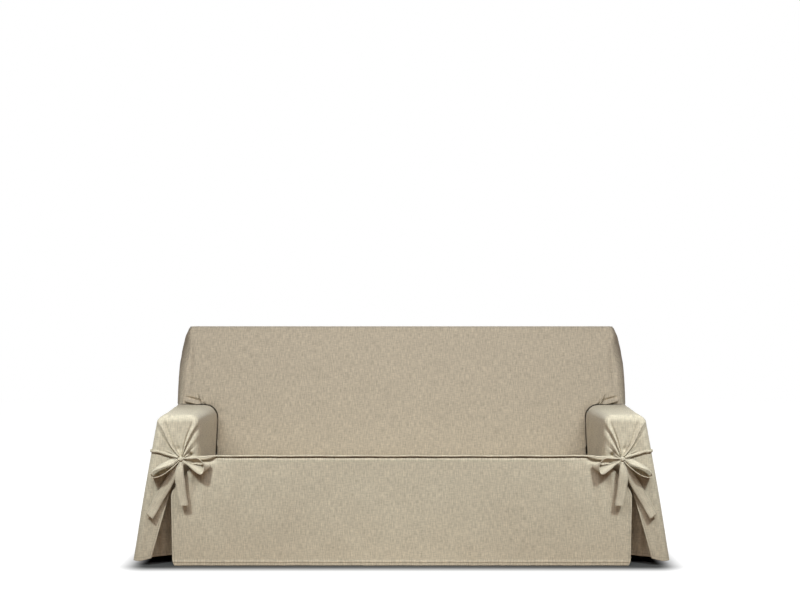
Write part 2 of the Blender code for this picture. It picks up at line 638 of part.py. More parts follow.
def build_underlay(side, word):
    """The pleat's inner layer: sewn on behind the arm's front, it hangs back behind the gap below the knot."""
    fall = spread((0.0, 0.06, 1), (0.06, 1.0, 7))[None, :]
    share = np.linspace(0.0, 1.0, 6)[:, None]
    out = blend(blend(0.852, 0.940, share), blend(0.880, 1.045, share), fall)
    height = blend(0.446, blend(0.034, 0.024, share), fall)
    behind = ARM_FRONT + CLOTH + SEWN
    hang = 1.0 - (1.0 - np.clip((fall - 0.06) / 0.94, 0.0, 1.0)) ** 1.6
    depth = blend(behind, blend(0.095, 0.060, share), hang) + 0.005 * np.sin(2 * np.pi * share) * hang
    add_sheet(f"pleat_underlay_{word}", stack(out, depth, height), CLOTH, side, colour=(0.36, 0.30, 0.23))


# ------------------------------------------------------------------ ties

def at_knot(point, gap):
    """The place on the knot's surface, plus a gap, that lies towards a point (metres from the knot's centre)."""
    surface = 1.0 / np.linalg.norm(point / KNOT_SIZE)
    return point * surface + unit(point) * gap


def build_knot(side, word):
    """The knot: a lump that is drawn in a little beside its middle band."""
    turn = np.linspace(0.0, 2 * np.pi, 13)[:-1][None, :]
    tilt = np.linspace(-0.5 * np.pi, 0.5 * np.pi, 9)[1:-1][:, None]
    round_it = (1.0 - 0.08 * np.sin(2 * tilt) ** 2) * np.cos(tilt)
    rings = stack(np.sin(tilt) * KNOT_SIZE[0], round_it * np.cos(turn) * KNOT_SIZE[1],
                  round_it * np.sin(turn) * KNOT_SIZE[2])
    add_tube(f"bow_knot_{word}", rings + KNOT, side, colour=(0.50, 0.44, 0.35))


def ribbon(rows, steps, tied_ends, crown=0.0012):
    """A ribbon's middle surface: a smooth curve through its rows, spread to both sides, a little higher midway.

    Its tied ends, the first row alone or the first and last, lie flat against the knot's surface.
    """
    table = np.array(rows, float)
    for end in (0, -1)[:tied_ends]:
        table[end, :3] = at_knot(table[end, :3] * 0.01, SEWN) * 100
        facing = unit(table[end, :3] / KNOT_SIZE**2)
        table[end, 3:6] -= facing * (table[end, 3:6] @ facing)
    line = smooth_rows(table, steps)
    across = np.linspace(-0.5, 0.5, 4)[None, :, None]
    wide = unit(line[:, None, 3:6]) * line[:, None, 6:7] * 0.01
    flat = KNOT + line[:, None, :3] * 0.01 + across * wide
    return flat + normals(flat) * crown * (1.0 - 4.0 * across**2)


def strap_rings(line, thick, high):
    """Rings of a rolled tape: an upright ellipse, half as thick and half as high as given, carried along a line."""
    along = unit(np.gradient(line, axis=0))
    up = unit(np.array([0.0, 0.0, 1.0]) - along * along[:, 2:3])
    through = np.cross(along, up)
    turn = np.linspace(0.0, 2 * np.pi, 9)[:-1][None, :, None]
    return (line[:, None] + through[:, None] * thick[:, None, None] * np.cos(turn)
            + up[:, None] * high[:, None, None] * np.sin(turn))


def outer_strap():
    """The strap that lies round the arm's outer front edge, along one of the cover's own lines, to the knot."""
    direction, start_back, *halves = OUTER_STRAP
    column = fan_columns([direction])[0] + np.array([-0.01, 0.0, 0.01])
    base = ARM_FRONT + ARM_NOSE[0]
    side_share = 1.0 - (start_back - base) / (ARM_BACK - base)
    surface = arm_surface(column, np.linspace(side_share, 1.0, 4)[:-1], np.linspace(0.0, 1.0, 5)[:-1],
                          np.linspace(0.0, 0.955, 8))
    line, outward = surface[1], normals(surface)[1]
    outward = outward * np.sign(-outward[-1:, 1:2])
    way = np.linspace(0.0, 1.0, len(line))
    thick, high = (np.interp(way, (0.0, 0.6, 1.0), [half[i] for half in halves]) for i in (0, 1))
    reach = np.linalg.norm((line - KNOT)[:, ::2], axis=1)
    line = line + outward * (CLOTH / 2 + 1.6 * SEWN + thick)[:, None]
    line[:, 1] = line[:, 1] - 0.0125 * soft_step((0.060 - reach) / 0.045)
    return strap_rings(line, thick, high)


def inner_strap():
    """The strap that carries the piping on to the knot."""
    line = smooth_rows(INNER_STRAP, 2)
    return strap_rings(line[:, :3], line[:, 3], line[:, 4])


def build_bow(side, word):
    """One arm's bow: the knot, its two straps, two loops and two hanging ends."""
    tape = {"side": side, "colour": (0.50, 0.44, 0.35)}
    build_knot(side, word)
    add_tube(f"outer_strap_{word}", outer_strap(), **tape)
    add_tube(f"inner_strap_{word}", inner_strap(), **tape)
    add_sheet(f"outer_loop_{word}", ribbon(OUTER_LOOP, 3, 2), TAPE, **tape)
    add_sheet(f"inner_loop_{word}", ribbon(INNER_LOOP, 3, 2), TAPE, **tape)
    add_sheet(f"outer_tail_{word}", ribbon(OUTER_TAIL, 2, 1), TAPE, **tape)
    add_sheet(f"inner_tail_{word}", ribbon(INNER_TAIL, 2, 1), TAPE, **tape)


def main():
    """Clear the scene and build every piece of the cover."""
    for item in list(bpy.data.objects):
        bpy.data.objects.remove(item, do_unlink=True)
    build_inside_back()
    build_back_top()
    build_outside_back()
    build_seat()
    build_piping()
    build_skirt()
    for side, word in ((1, "right"), (-1, "left")):
        build_back_wing(side, word)
        build_back_side(side, word)
        build_arm_cover(side, word)
        build_underlay(side, word)
        build_bow(side, word)


main()
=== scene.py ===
# %% [markdown]
# # A sofa slipcover tied with bows
#
# The real thing is a loose cover of linen-look cloth, sewn from panels and drawn over a three-seater sofa.
# It has a raked back, a seat, a skirt to the floor, and two arm covers that ribbons pull together at the
# arm's front. Below each bow the cloth falls open as a pleat. The solids in model.glb give each panel's
# place and size. This file dresses them: each panel is made again as a dense sheet with its folds, and
# gets a woven material.

# %% Load the solids and note the sizes that everything is worked out from
import json

import bpy
import numpy as np
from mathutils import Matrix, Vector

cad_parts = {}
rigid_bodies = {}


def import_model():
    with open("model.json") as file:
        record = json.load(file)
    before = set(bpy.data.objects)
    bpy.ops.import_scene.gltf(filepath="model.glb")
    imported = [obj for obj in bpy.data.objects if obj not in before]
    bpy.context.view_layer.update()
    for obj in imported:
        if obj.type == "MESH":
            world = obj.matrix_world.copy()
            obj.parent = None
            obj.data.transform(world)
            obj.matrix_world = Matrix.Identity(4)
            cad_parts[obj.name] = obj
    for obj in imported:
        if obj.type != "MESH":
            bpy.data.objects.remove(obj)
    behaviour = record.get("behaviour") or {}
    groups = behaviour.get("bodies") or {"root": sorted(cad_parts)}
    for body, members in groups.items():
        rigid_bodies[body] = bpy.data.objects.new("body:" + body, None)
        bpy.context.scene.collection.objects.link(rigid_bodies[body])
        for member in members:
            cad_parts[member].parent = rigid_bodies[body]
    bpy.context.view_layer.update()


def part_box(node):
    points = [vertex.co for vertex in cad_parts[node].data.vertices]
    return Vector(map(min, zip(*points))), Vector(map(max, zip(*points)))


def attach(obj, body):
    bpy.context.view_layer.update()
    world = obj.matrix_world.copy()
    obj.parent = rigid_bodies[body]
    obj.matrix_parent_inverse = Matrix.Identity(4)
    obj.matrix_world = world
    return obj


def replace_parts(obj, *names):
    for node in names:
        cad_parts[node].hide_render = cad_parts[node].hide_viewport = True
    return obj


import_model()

cloth = 0.002            # thickness of one layer of cloth
tape = 0.0025            # thickness of the ties' sewn double layer
hem_line = 0.012         # where the hem is stitched, above its edge
depth_all = 0.90         # front skirt to outside back
front_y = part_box("outside_back")[1][1] - depth_all
seam = 0.0004            # between panels that are sewn together
sides = ((1, "right"), (-1, "left"))     # which way out is, and what the piece's name says
print("front skirt at y =", round(front_y, 4))

# %% [markdown]
# ## Camera
#
# The photograph looks straight at the front from far away, level, from a little above the backrest. A long
# lens does the same. It is set first, because every other choice is judged through it.

# %% Place the camera
camera_away, camera_high = 5.9, 1.08     # from the skirt, and above the floor
view = bpy.data.cameras.new("view")
view.lens = 65.3
view.sensor_width = 36.0
view.shift_x = -1.5 / 800
camera = bpy.data.objects.new("camera", view)
camera.location = (0.0, front_y - camera_away, camera_high)
camera.rotation_euler = (np.pi / 2, 0.0, 0.0)
bpy.context.scene.collection.objects.link(camera)
bpy.context.scene.camera = camera
print("camera at", tuple(round(x, 3) for x in camera.location))

# %% [markdown]
# ## Measures and small helpers
#
# A panel is a function of two parameters on a grid. It is worked out for the right side in three measures:
# out (sideways from the middle), depth (back from the skirt) and height. The left side is its mirror image.
# The helpers below blend, space and smooth numbers, always as whole arrays.

# %% Helpers for numbers
def soft_step(value):
    """A smooth rise from 0 to 1: three t squared minus two t cubed."""
    t = np.clip(value, 0.0, 1.0)
    return t * t * (3.0 - 2.0 * t)


def blend(start, end, share):
    """Mix two values by a share from 0 to 1."""
    return start + (end - start) * share


def bell(value):
    """A bump of height 1 around 0: e to the power of minus the value squared."""
    return np.exp(-np.square(value))


def spread(*stretches):
    """Positions along a grid: each stretch is (start, end, steps), and the last one keeps its end."""
    steps = [np.linspace(start, end, count, endpoint=False) for start, end, count in stretches]
    return np.append(np.concatenate(steps), stretches[-1][1])

# %% Helpers for points
def stack(out, depth, height):
    """Put three measures, broadcast to one shape, together as points."""
    return np.stack(np.broadcast_arrays(out, depth, height), axis=-1).astype(float)


def unit(vectors):
    """Vectors scaled to a length of one."""
    return vectors / np.linalg.norm(vectors, axis=-1, keepdims=True)


def normals(middle):
    """Unit normals of a grid: the cross product of the differences along its two ways."""
    return unit(np.cross(np.gradient(middle, axis=0), np.gradient(middle, axis=1)))


def travel(line):
    """Distance gone along a line of points at each of them, from 0."""
    return np.cumsum(np.pad(np.linalg.norm(np.diff(line, axis=0), axis=1), (1, 0)))


def smooth_rows(rows, steps):
    """Carry a smooth curve (Catmull-Rom) through the rows of a table, with the given steps between rows."""
    table = np.array(rows, float)
    padded = np.concatenate([2 * table[:1] - table[1:2], table, 2 * table[-1:] - table[-2:-1]])
    t = np.linspace(0.0, 1.0, steps, endpoint=False)[None, :, None]
    p0, p1, p2, p3 = (padded[i:len(padded) - 3 + i, None, :] for i in range(4))
    curve = 0.5 * (2 * p1 + (p2 - p0) * t + (2 * p0 - 5 * p1 + 4 * p2 - p3) * t**2
                   + (3 * p1 - p0 - 3 * p2 + p3) * t**3)
    return np.concatenate([curve.reshape(-1, table.shape[1]), table[-1:]])

# %% [markdown]
# ## How cloth moves
#
# Real cloth is never flat. It has broad uneven waves, and creases where it is pulled. A cloth simulation
# could find them, but the photograph fixes where each main crease lies, so they are placed one by one:
# waves as a sum of sines that point every way, and creases as bell-shaped ridges or troughs along a line.

# %% Waves and creases
def waves(u, v, size, seed, stretch=1.0):
    """Uneven relief of about height 1: ten sine waves of nearly one length, each turned its own way, added.

    A stretch above 1 draws the waves out along v.
    """
    pick = np.random.default_rng(seed)
    turns = pick.uniform(0, np.pi, 10)
    lengths = size * pick.uniform(0.7, 1.5, 10)
    phases = pick.uniform(0, 2 * np.pi, 10)
    total = 0.0
    for angle, length, phase in zip(turns, lengths, phases):
        total = total + np.sin(2 * np.pi * (u * np.cos(angle) + v * np.sin(angle) / stretch) / length + phase)
    return total / np.sqrt(10)


def creases(u, v, table):
    """Height of creases. Each is (u, v) of its start, (u, v) of its end, height and half width.

    Across, the section is a bell. Along, it rises over the first fifth and fades over the last half.
    """
    relief = 0.0
    for u0, v0, u1, v1, rise, width in table:
        length = np.hypot(u1 - u0, v1 - v0)
        along = ((u - u0) * (u1 - u0) + (v - v0) * (v1 - v0)) / length**2
        across = ((u - u0) * (v1 - v0) - (v - v0) * (u1 - u0)) / length
        relief = relief + rise * bell(across / width) * soft_step(along * 5) * (1 - soft_step(along * 2 - 1))
    return relief

# %% [markdown]
# ## From numbers to cloth
#
# A grid of points becomes a mesh of four-sided faces. Its UV map holds the cloth's own flat measures in
# metres, so the weave follows the folds as threads do. An attribute holds the distance to the nearest hem
# edge, for the painted shade of the stitched line. A Solidify modifier gives the sheet its thickness; that
# is simpler than building two skins and a rim by hand.

# %% A new piece
def new_piece(name, points, faces, side, uv, edge, material):
    """Make a mesh object in world measures: x is out times side, y is depth plus front_y, z is height."""
    world = points.reshape(-1, 3) * (side, 1.0, 1.0) + (0.0, front_y, 0.0)
    faces = faces[:, ::side]
    mesh = bpy.data.meshes.new(name)
    mesh.vertices.add(len(world))
    mesh.vertices.foreach_set("co", world.astype(np.float32).ravel())
    mesh.loops.add(faces.size)
    mesh.loops.foreach_set("vertex_index", faces.astype(np.int32).ravel())
    mesh.polygons.add(len(faces))
    mesh.polygons.foreach_set("loop_start", np.arange(0, faces.size, 4, dtype=np.int32))
    mesh.update(calc_edges=True)
    layer = mesh.uv_layers.new(name="weave")
    layer.data.foreach_set("uv", uv.reshape(-1, 2)[faces.ravel()].astype(np.float32).ravel())
    if edge is not None:
        store = mesh.attributes.new("hem", "FLOAT", "POINT")
        store.data.foreach_set("value", np.broadcast_to(edge, points.shape[:2]).astype(np.float32).ravel())
    mesh.shade_smooth()
    mesh.materials.append(material)
    piece = bpy.data.objects.new(name, mesh)
    bpy.context.scene.collection.objects.link(piece)
    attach(piece, "root")
    print(f"{name}: {len(faces)} faces")
    return piece

# %% Sheets and tubes
def grid_faces(rows, columns):
    """Corner numbers of each four-sided cell of a grid."""
    index = np.arange(rows * columns).reshape(rows, columns)
    return np.stack([index[:-1, :-1], index[1:, :-1], index[1:, 1:], index[:-1, 1:]], axis=-1).reshape(-1, 4)


def sheet_piece(name, middle, uv, material, side=1, edge=None, thickness=cloth):
    """A sheet of cloth: its middle surface as a grid, given its thickness by Solidify.

    Cells of no size are left out: the cross product of their diagonals is twice their area.
    """
    faces = grid_faces(*middle.shape[:2])
    a, b, c, d = (middle.reshape(-1, 3)[faces[:, i]] for i in range(4))
    size = np.linalg.norm(np.cross(c - a, d - b), axis=1)
    piece = new_piece(name, middle, faces[size > 1e-10], side, uv, edge, material)
    thick = piece.modifiers.new("thickness", "SOLIDIFY")
    thick.thickness = thickness
    thick.offset = 0.0
    return piece


def tube_piece(name, rings, material, side=1):
    """A closed tube: rings of points joined up, and drawn together to a point at both ends."""
    ends = rings.mean(axis=1, keepdims=True)[[0, -1]] + 0.0 * rings[:1]
    rings = np.concatenate([ends[:1], rings, ends[1:]])
    rings = np.concatenate([rings, rings[:, :1]], axis=1)
    round_it, along = travel(rings[len(rings) // 2]), travel(rings.mean(axis=1))
    uv = np.stack(np.broadcast_arrays(round_it[None, :], along[:, None]), axis=-1)
    piece = new_piece(name, rings, grid_faces(*rings.shape[:2]), side, uv, None, material)
    clean = piece.modifiers.new("close", "WELD")
    clean.merge_threshold = 1e-6
    return piece


def both_sides(right):
    """A whole width from its right half, whose first row lies in the middle."""
    return np.concatenate([right[:0:-1] * np.array([-1.0, 1.0, 1.0][:right.shape[-1]]), right])

# %% [markdown]
# ## The linen-look cloth
#
# The fabric is a plain weave of uneven yarns, greige, matt, with thicker places (slubs) along both sets of
# threads. A photograph of the cloth could be wrapped on, but threads drawn by noise never repeat and stay
# sharp. Real yarns are about 0.7 mm apart, finer than a pixel here. So the slubs carry the look, drawn 3.6
# mm wide and 24 to 30 mm long, and a bump with waves 1.6 mm long stands for the threads.

# %% Material helpers
def linear(code):
    """An sRGB hex colour as linear red, green and blue, with alpha 1."""
    value = np.array([int(code[i:i + 2], 16) for i in (1, 3, 5)]) / 255
    value = np.where(value <= 0.04045, value / 12.92, ((value + 0.055) / 1.055) ** 2.4)
    return (*value.tolist(), 1.0)


def add(tree, kind, sockets=None, **settings):
    """Add one node. Each socket gets a value, or the output that feeds it; settings are set by name."""
    node = tree.nodes.new(kind)
    for name, value in settings.items():
        setattr(node, name, value)
    for name, value in (sockets or {}).items():
        if isinstance(value, bpy.types.NodeSocket):
            tree.links.new(value, node.inputs[name])
        else:
            node.inputs[name].default_value = value
    return node

# %% Sizes of the weave
slub_width = 0.0036      # across a thick yarn, drawn about four times too wide so that it shows
slub_length = 0.030      # along the upright yarns; the level ones have 0.8 of it
slub_tone = 0.22         # how much a slub lightens or darkens the cloth
weft_share = 0.40        # the upright yarns show more than the level ones
patch_size = (0.11, 0.09)     # of the broad, faint patches that a big piece of cloth always has
thread = 0.0016          # spacing of the drawn threads
thread_height = 0.12     # beside the slubs, whose height is 1
# The hem's stitched line is darkened by this share: painted shade of the groove along the stitches.
stitch_groove_shade = 0.80       # of the hem's stitched line
print("slubs of", slub_width * 1000, "x", slub_length * 1000, "mm")

# %% The linen-look weave
def linen(name, colour, contrast=1.0):
    """Linen-look plain weave, matt: slubs and patches vary one colour, and the threads are a bump."""
    material = bpy.data.materials.new(name)
    material.use_nodes = True
    tree = material.node_tree
    shader = tree.nodes["Principled BSDF"]
    place = add(tree, "ShaderNodeUVMap", uv_map="weave").outputs["UV"]

    def yarns(across, along, detail):
        spaced = add(tree, "ShaderNodeMapping", {"Vector": place, "Scale": (1 / across, 1 / along, 1.0)})
        noise = {"Vector": spaced.outputs["Vector"], "Scale": 1.0, "Detail": detail, "Roughness": 0.55}
        return add(tree, "ShaderNodeTexNoise", noise, noise_dimensions="2D").outputs["Fac"]

    warp = yarns(slub_width, slub_length, 2.0)
    weft = yarns(slub_length * 0.8, slub_width, 2.0)
    patch = yarns(*patch_size, 3.0)
    both = add(tree, "ShaderNodeMix", {"Factor": weft_share, "A": warp, "B": weft}, data_type="FLOAT")
    both = both.outputs["Result"]
    tone = add(tree, "ShaderNodeMapRange", {
        "Value": both, "From Min": 0.32, "From Max": 0.68,
        "To Min": 1.0 - slub_tone * contrast, "To Max": 1.0 + slub_tone * contrast}).outputs["Result"]
    broad = add(tree, "ShaderNodeMapRange", {
        "Value": patch, "From Min": 0.3, "From Max": 0.7, "To Min": 0.98, "To Max": 1.02}).outputs["Result"]
    shade = add(tree, "ShaderNodeMath", {0: tone, 1: broad}, operation="MULTIPLY").outputs[0]

    # The hem's stitched line: a thin, darker line at one distance from the edge, painted shade of the groove
    # that the stitches pull in.
    hem = add(tree, "ShaderNodeAttribute", attribute_name="hem").outputs["Fac"]
    off_line = add(tree, "ShaderNodeMath", {0: hem, 1: hem_line}, operation="SUBTRACT").outputs[0]
    off_line = add(tree, "ShaderNodeMath", {0: off_line}, operation="ABSOLUTE").outputs[0]
    line = add(tree, "ShaderNodeMapRange", {
        "Value": off_line, "From Min": 0.0008, "From Max": 0.0022,
        "To Min": stitch_groove_shade, "To Max": 1.0}).outputs["Result"]
    shade = add(tree, "ShaderNodeMath", {0: shade, 1: line}, operation="MULTIPLY").outputs[0]
    tint = add(tree, "ShaderNodeVectorMath", {0: linear(colour)[:3], "Scale": shade}, operation="SCALE")
    tree.links.new(tint.outputs[0], shader.inputs["Base Color"])

    pitch = 2 * np.pi / thread
    threads = add(tree, "ShaderNodeMapping", {"Vector": place, "Scale": (pitch, pitch, 1.0)})
    ups = add(tree, "ShaderNodeVectorMath", {0: threads.outputs["Vector"]}, operation="SINE").outputs[0]
    high = (thread_height, thread_height, 0.0)
    weave = add(tree, "ShaderNodeVectorMath", {0: ups, 1: high}, operation="DOT_PRODUCT").outputs["Value"]
    relief = add(tree, "ShaderNodeMath", {0: both, 1: weave}, operation="ADD").outputs[0]
    bump = add(tree, "ShaderNodeBump", {"Height": relief, "Strength": 0.35, "Distance": 0.0010})
    tree.links.new(bump.outputs["Normal"], shader.inputs["Normal"])
    shader.inputs["Roughness"].default_value = 0.9
    shader.inputs["Specular IOR Level"].default_value = 0.2
    shader.inputs["Sheen Weight"].default_value = 0.15
    shader.inputs["Sheen Roughness"].default_value = 0.5
    return material

# %% The two cloths
linen_panel = linen("linen look weave", "#c4b9a5")
linen_tie = linen("linen look weave of the ties", "#c7bca8", contrast=0.7)
print("materials:", linen_panel.name, "and", linen_tie.name)

# %% [markdown]
# ## Seat and piping
#
# The seat is one flat piece of cloth that slopes down to the back and sags a little between its edges. A
# rolled strip of the same cloth, the piping, runs along its front edge. A plane cut to shape would do for
# the seat, but a grid drawn out to the arm covers' edge leaves an even, narrow seam there.

# %% Seat deck
seat_edge, seat_fall = 0.4455, 0.130     # height of its front edge, and its drop for each metre of depth
seat_front, seat_back = 0.0047, 0.5480
seat_sag = 0.004
arm_inner, arm_front = 0.823, 0.012      # how far out the arm's inner side is, and its front face's depth
nose_radius = (0.030, 0.034)     # of the arm cover's front edge: at the top, and down the flap
sewn_on = 0.0009         # between the arm covers and the seat and back


def seat_height(depth):
    """The seat slopes evenly down from its front edge."""
    return seat_edge - seat_fall * depth


# Near the front its side edges follow the arm's rounded front edge, a circle seen from above.
depth = spread((seat_front, arm_front, 3), (arm_front, 0.0450, 14), (0.0450, seat_back, 50))[None, :]
bend = np.clip(1.0 - (depth - arm_front) / nose_radius[0], 0.0, 1.0)
reach = nose_radius[0] + cloth / 2 + sewn_on
edge_out = arm_inner + nose_radius[0] - np.sqrt(reach**2 - (nose_radius[0] * bend) ** 2)
out = both_sides(np.linspace(0.0, 1.0, 70)[:, None]) * edge_out
sag = seat_sag * np.sin(np.pi * depth / 0.54) * np.cos(np.pi * out / 1.7)
ruffle = 0.0006 * waves(out, depth, 0.14, 3) * np.sin(np.pi * depth / 0.54)
seat = stack(out, depth, seat_height(depth) - sag + ruffle)
seat_cloth = sheet_piece("seat_cloth", seat, seat[..., :2], linen_panel)
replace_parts(seat_cloth, "seat_panel")

# %% Piping along the seat's front edge
piping_end = 0.748
piping_deep, piping_high = 0.0033, 0.0036    # half of its thickness each way
along = np.linspace(-1.0, 1.0, 181)[:, None]
turn = np.linspace(0.0, 2 * np.pi, 17)[:-1][None, :]
sway = 0.0006 * np.sin(7 * np.pi * along) + 0.0002 * waves(along * piping_end, 0 * along, 0.05, 5)
pinch = 1.0 + 0.05 * waves(along * piping_end, turn * 0.01, 0.03, 6)
rings = stack(along * piping_end, 0.001 + piping_deep * np.cos(turn) * pinch,
              seat_edge + sway + piping_high * np.sin(turn) * pinch)
piping = tube_piece("piping", rings, linen_panel)
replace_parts(piping, "seat_piping")

# %% [markdown]
# ## Backrest
#
# The inside back is one cloth from the seat up over the top. It wraps round both side edges as far as a
# seam, and its lower corners are cut out to let the arms through. The cut could be a Boolean, but here each
# column of the grid just starts at the arm's outline, so the edge is exact and no face is wasted.

# %% Sizes of the backrest
arm_top = 0.610
back_half_wide, back_top = 1.0155, 0.957
back_at = 0.62           # the inside back lies this deep at this same height
back_rake = 0.356        # depth gained for each metre of height
back_edge = 0.018        # radius of its top front edge
side_in, side_back = 0.047, 0.070     # how far its rounded side edge reaches in and back
seam_angle = np.radians(20)           # where on that edge the side panel is sewn on
outside_lean = 0.018     # how much the outside back leans in at its top
print("backrest:", 2 * back_half_wide, "wide and", back_top, "high")

# %% The backrest's shape
def back_face(height):
    """Depth of the raked inside back: a straight rake, then a quarter round at the top edge."""
    flat = np.minimum(height, back_top - back_edge)
    rise = np.clip((height - back_top + back_edge) / back_edge, 0.0, 1.0)
    return back_at + back_rake * (flat - back_at) + back_edge * (1.0 - np.sqrt(1.0 - rise**2))


def outside_back(height):
    """Depth of the outside back, which leans in towards its top."""
    return depth_all - outside_lean * height / back_top


def back_half(height):
    """Half width of the backrest: upright, then drawn in by a straight and a cubic share."""
    t = np.clip((height - 0.72) / (back_top - 0.72), 0.0, 1.0)
    return back_half_wide - 0.006 * t - 0.040 * t**3


def side_reach(height):
    """How far the rounded side edge reaches in and back: fullest at 0.84 m, least at the top."""
    share = blend(1.0, 0.35, soft_step((height - 0.87) / 0.087)) + 0.25 * bell((height - 0.84) / 0.05)
    return side_in * share, side_back * share


def side_edge(angle, height):
    """A point of the rounded side edge, a quarter ellipse: angle 0 in front, a right angle at the side."""
    reach_in, reach_back = side_reach(height)
    out = back_half(height) - reach_in * (1 - np.sin(angle))
    return out, back_face(height) + reach_back * (1 - np.cos(angle))

# %% Where the inside back is cut, and its creases
corner = 0.060 + cloth / 2 + sewn_on     # radius of the cut round the arm; then how far in and up it lies
cut_in, cut_top = arm_inner - cloth / 2 - sewn_on, arm_top + cloth / 2 + sewn_on
foot = seat_height(0.534) + cloth / 2 + 2 * seam     # just above the seat, where the two meet
tuck_deep, tuck_wide = 0.010, 0.045      # how far it turns in there, and over what distance

# Out and height of each crease's start and end, its height and its half width. The first six crumple above
# the arm.
back_creases = (
    (0.9000, 0.6090, 1.0000, 0.6340, 0.0130, 0.0050),
    (0.8950, 0.6240, 0.9900, 0.6490, -0.0100, 0.0060),
    (0.8880, 0.6070, 0.9110, 0.6560, 0.0110, 0.0040),
    (0.8970, 0.6070, 0.9240, 0.6640, -0.0085, 0.0045),
    (0.8760, 0.6060, 0.8930, 0.6380, 0.0090, 0.0038),
    (0.8825, 0.6060, 0.9030, 0.6480, -0.0075, 0.0036),
    (0.9300, 0.6500, 0.9700, 0.7400, 0.0036, 0.0110),
    (0.9550, 0.6700, 0.9600, 0.9000, -0.0060, 0.0120),
    (0.9350, 0.7600, 0.9380, 0.9300, 0.0026, 0.0120),
    (0.8000, 0.4700, 0.7700, 0.6400, 0.0018, 0.0140),
)

# %% How the inside back ends at the arm
def tuck(out, height):
    """How far the inside back turns in towards the seat and the arm: a parabola over its last 45 mm.

    The distance to the arm is that to a rounded rectangle.
    """
    across, up = np.maximum(cut_in + corner - out, 0.0), np.maximum(height - cut_top + corner, 0.0)
    nearest = np.minimum(np.hypot(across, up) - corner, height - foot)
    return tuck_deep * np.clip(1.0 - nearest / tuck_wide, 0.0, 1.0) ** 2


def outline_height(out):
    """The lowest height of the inside back above the arm: a quarter round, then flat."""
    inward = np.clip((cut_in + corner - out) / corner, 0.0, 1.0)
    return cut_top - corner * (1.0 - np.sqrt(1.0 - inward**2))

# %% The inside back's surface
def back_points(out_share, lowest, rise_rows):
    """The inside back's middle surface and its flat measures.

    Columns run by out_share: 0 the middle, 1 the start of the side edge, 2 the seam. Rows run from a lowest
    height up the face, round the top edge and back over the top.
    """
    turn = np.linspace(0.0, np.pi / 2, 9)
    rise = np.concatenate([rise_rows, back_top - back_edge * (1.0 - np.sin(turn))])
    top_rows = np.array([0.01, 0.03, 0.05, 0.08, 0.12, 0.16, 0.25, 0.35, 0.5, 0.75, 1.0])
    over = np.concatenate([0.0 * rise, top_rows])[None, :]
    height = np.maximum(np.concatenate([rise, np.full(len(top_rows), back_top)])[None, :], lowest)
    share = out_share[:, None]
    inner = side_edge(0.0, height)[0]
    angle = np.clip(share - 1.0, 0.0, 1.0) * seam_angle
    edge, edge_depth = side_edge(angle, height)
    depth = blend(edge_depth, outside_back(back_top), over)
    reach_in, reach_back = side_reach(back_top)
    round_out = np.arccos(np.clip(1.0 - (depth - back_face(back_top)) / reach_back, 0.0, 1.0))
    rim = back_half(back_top) - reach_in * (1.0 - np.sin(round_out)) + 0.0015 * soft_step(over * 8)
    edge = np.where(over > 0, blend(inner, rim, np.clip(share - 1.0, 0.0, 1.0)), edge)
    out = np.where(share < 1.0, share * inner, edge)
    before_seam = 1.0 - soft_step((share - 1.0) / 0.7)
    lift = before_seam * (creases(out, height, back_creases) - tuck(out, height) * (over == 0))
    lift = lift + 0.0008 * waves(out, height, 0.22, 11, 2.0) * soft_step((height - 0.4) / 0.1)
    sideways = 0.5 * (depth - back_face(height)) * (share > 1) * (over == 0)
    return stack(out, depth - lift, height), stack(out + sideways, height + over * 0.13, 0.0)[..., :2]

# %% Inside back
rise_rows = spread((foot, foot + 0.04, 12), (foot + 0.04, 0.60, 24), (0.60, 0.66, 32),
                   (0.66, back_top - back_edge, 44))[:-1]
edge_start = side_edge(0.0, back_at)[0]
share = spread((0.0, 0.8, 60), (0.8, cut_in / edge_start, 10))
middle_points, middle_uv = back_points(share, foot, rise_rows)
arc = cut_in + corner * (1.0 - np.cos(np.linspace(0.0, np.pi / 2, 14)))
share = arc / edge_start
share = np.concatenate([share, spread((share[-1], 1.0, 34), (1.0, 2.0, 12))[1:]])
low = outline_height(np.concatenate([arc, np.full(len(share) - len(arc), 2.0)]))[:, None]
wing_points, wing_uv = back_points(share, low, rise_rows)
print("inside back:", both_sides(middle_points).shape, "and two corners", wing_points.shape)

whole = np.concatenate([both_sides(middle_points), wing_points[1:]])
whole = np.concatenate([wing_points[:0:-1] * (-1, 1, 1), whole])
whole_uv = np.concatenate([both_sides(middle_uv), wing_uv[1:]])
whole_uv = np.concatenate([wing_uv[:0:-1] * (-1, 1), whole_uv])
inside_cloth = sheet_piece("inside_back_cloth", whole, whole_uv, linen_panel)
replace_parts(inside_cloth, "inside_back", "back_wing_right", "back_wing_left", "back_top")

# %% [markdown]
# ## Sides and outside back
#
# The side panel is sewn to the inside back's rounded edge. Above the arm it goes round to the rear, and
# below it hangs with the arm cover, which swings out towards the floor. The rear panel hangs almost flat.
# Both are mostly hidden in the photograph. Flat faces would be quicker, but hanging cloth is never flat, so
# both get soft waves and a hem.

# %% How the hanging cloth swings out
arm_back = 0.620         # depth of the seam between arm cover and side panel
flare_wide, flare_high = 0.108, 0.59     # how far out it reaches at the floor, and where it starts
flare_back = 0.35        # its share at the back
arm_hem = (0.017, 0.003)      # height of the hem at the arm's front and back
# Depth, reach and half width of the slow waves.
side_waves = ((0.135, -0.012, 0.050), (0.270, 0.009, 0.060), (0.430, -0.007, 0.070))


def arm_side(depth):
    """How far out the arm's outer side stands at its top: a little wider towards the back."""
    return blend(1.0, 1.0155, np.clip(depth / 0.75, 0.0, 1.0) ** 2)


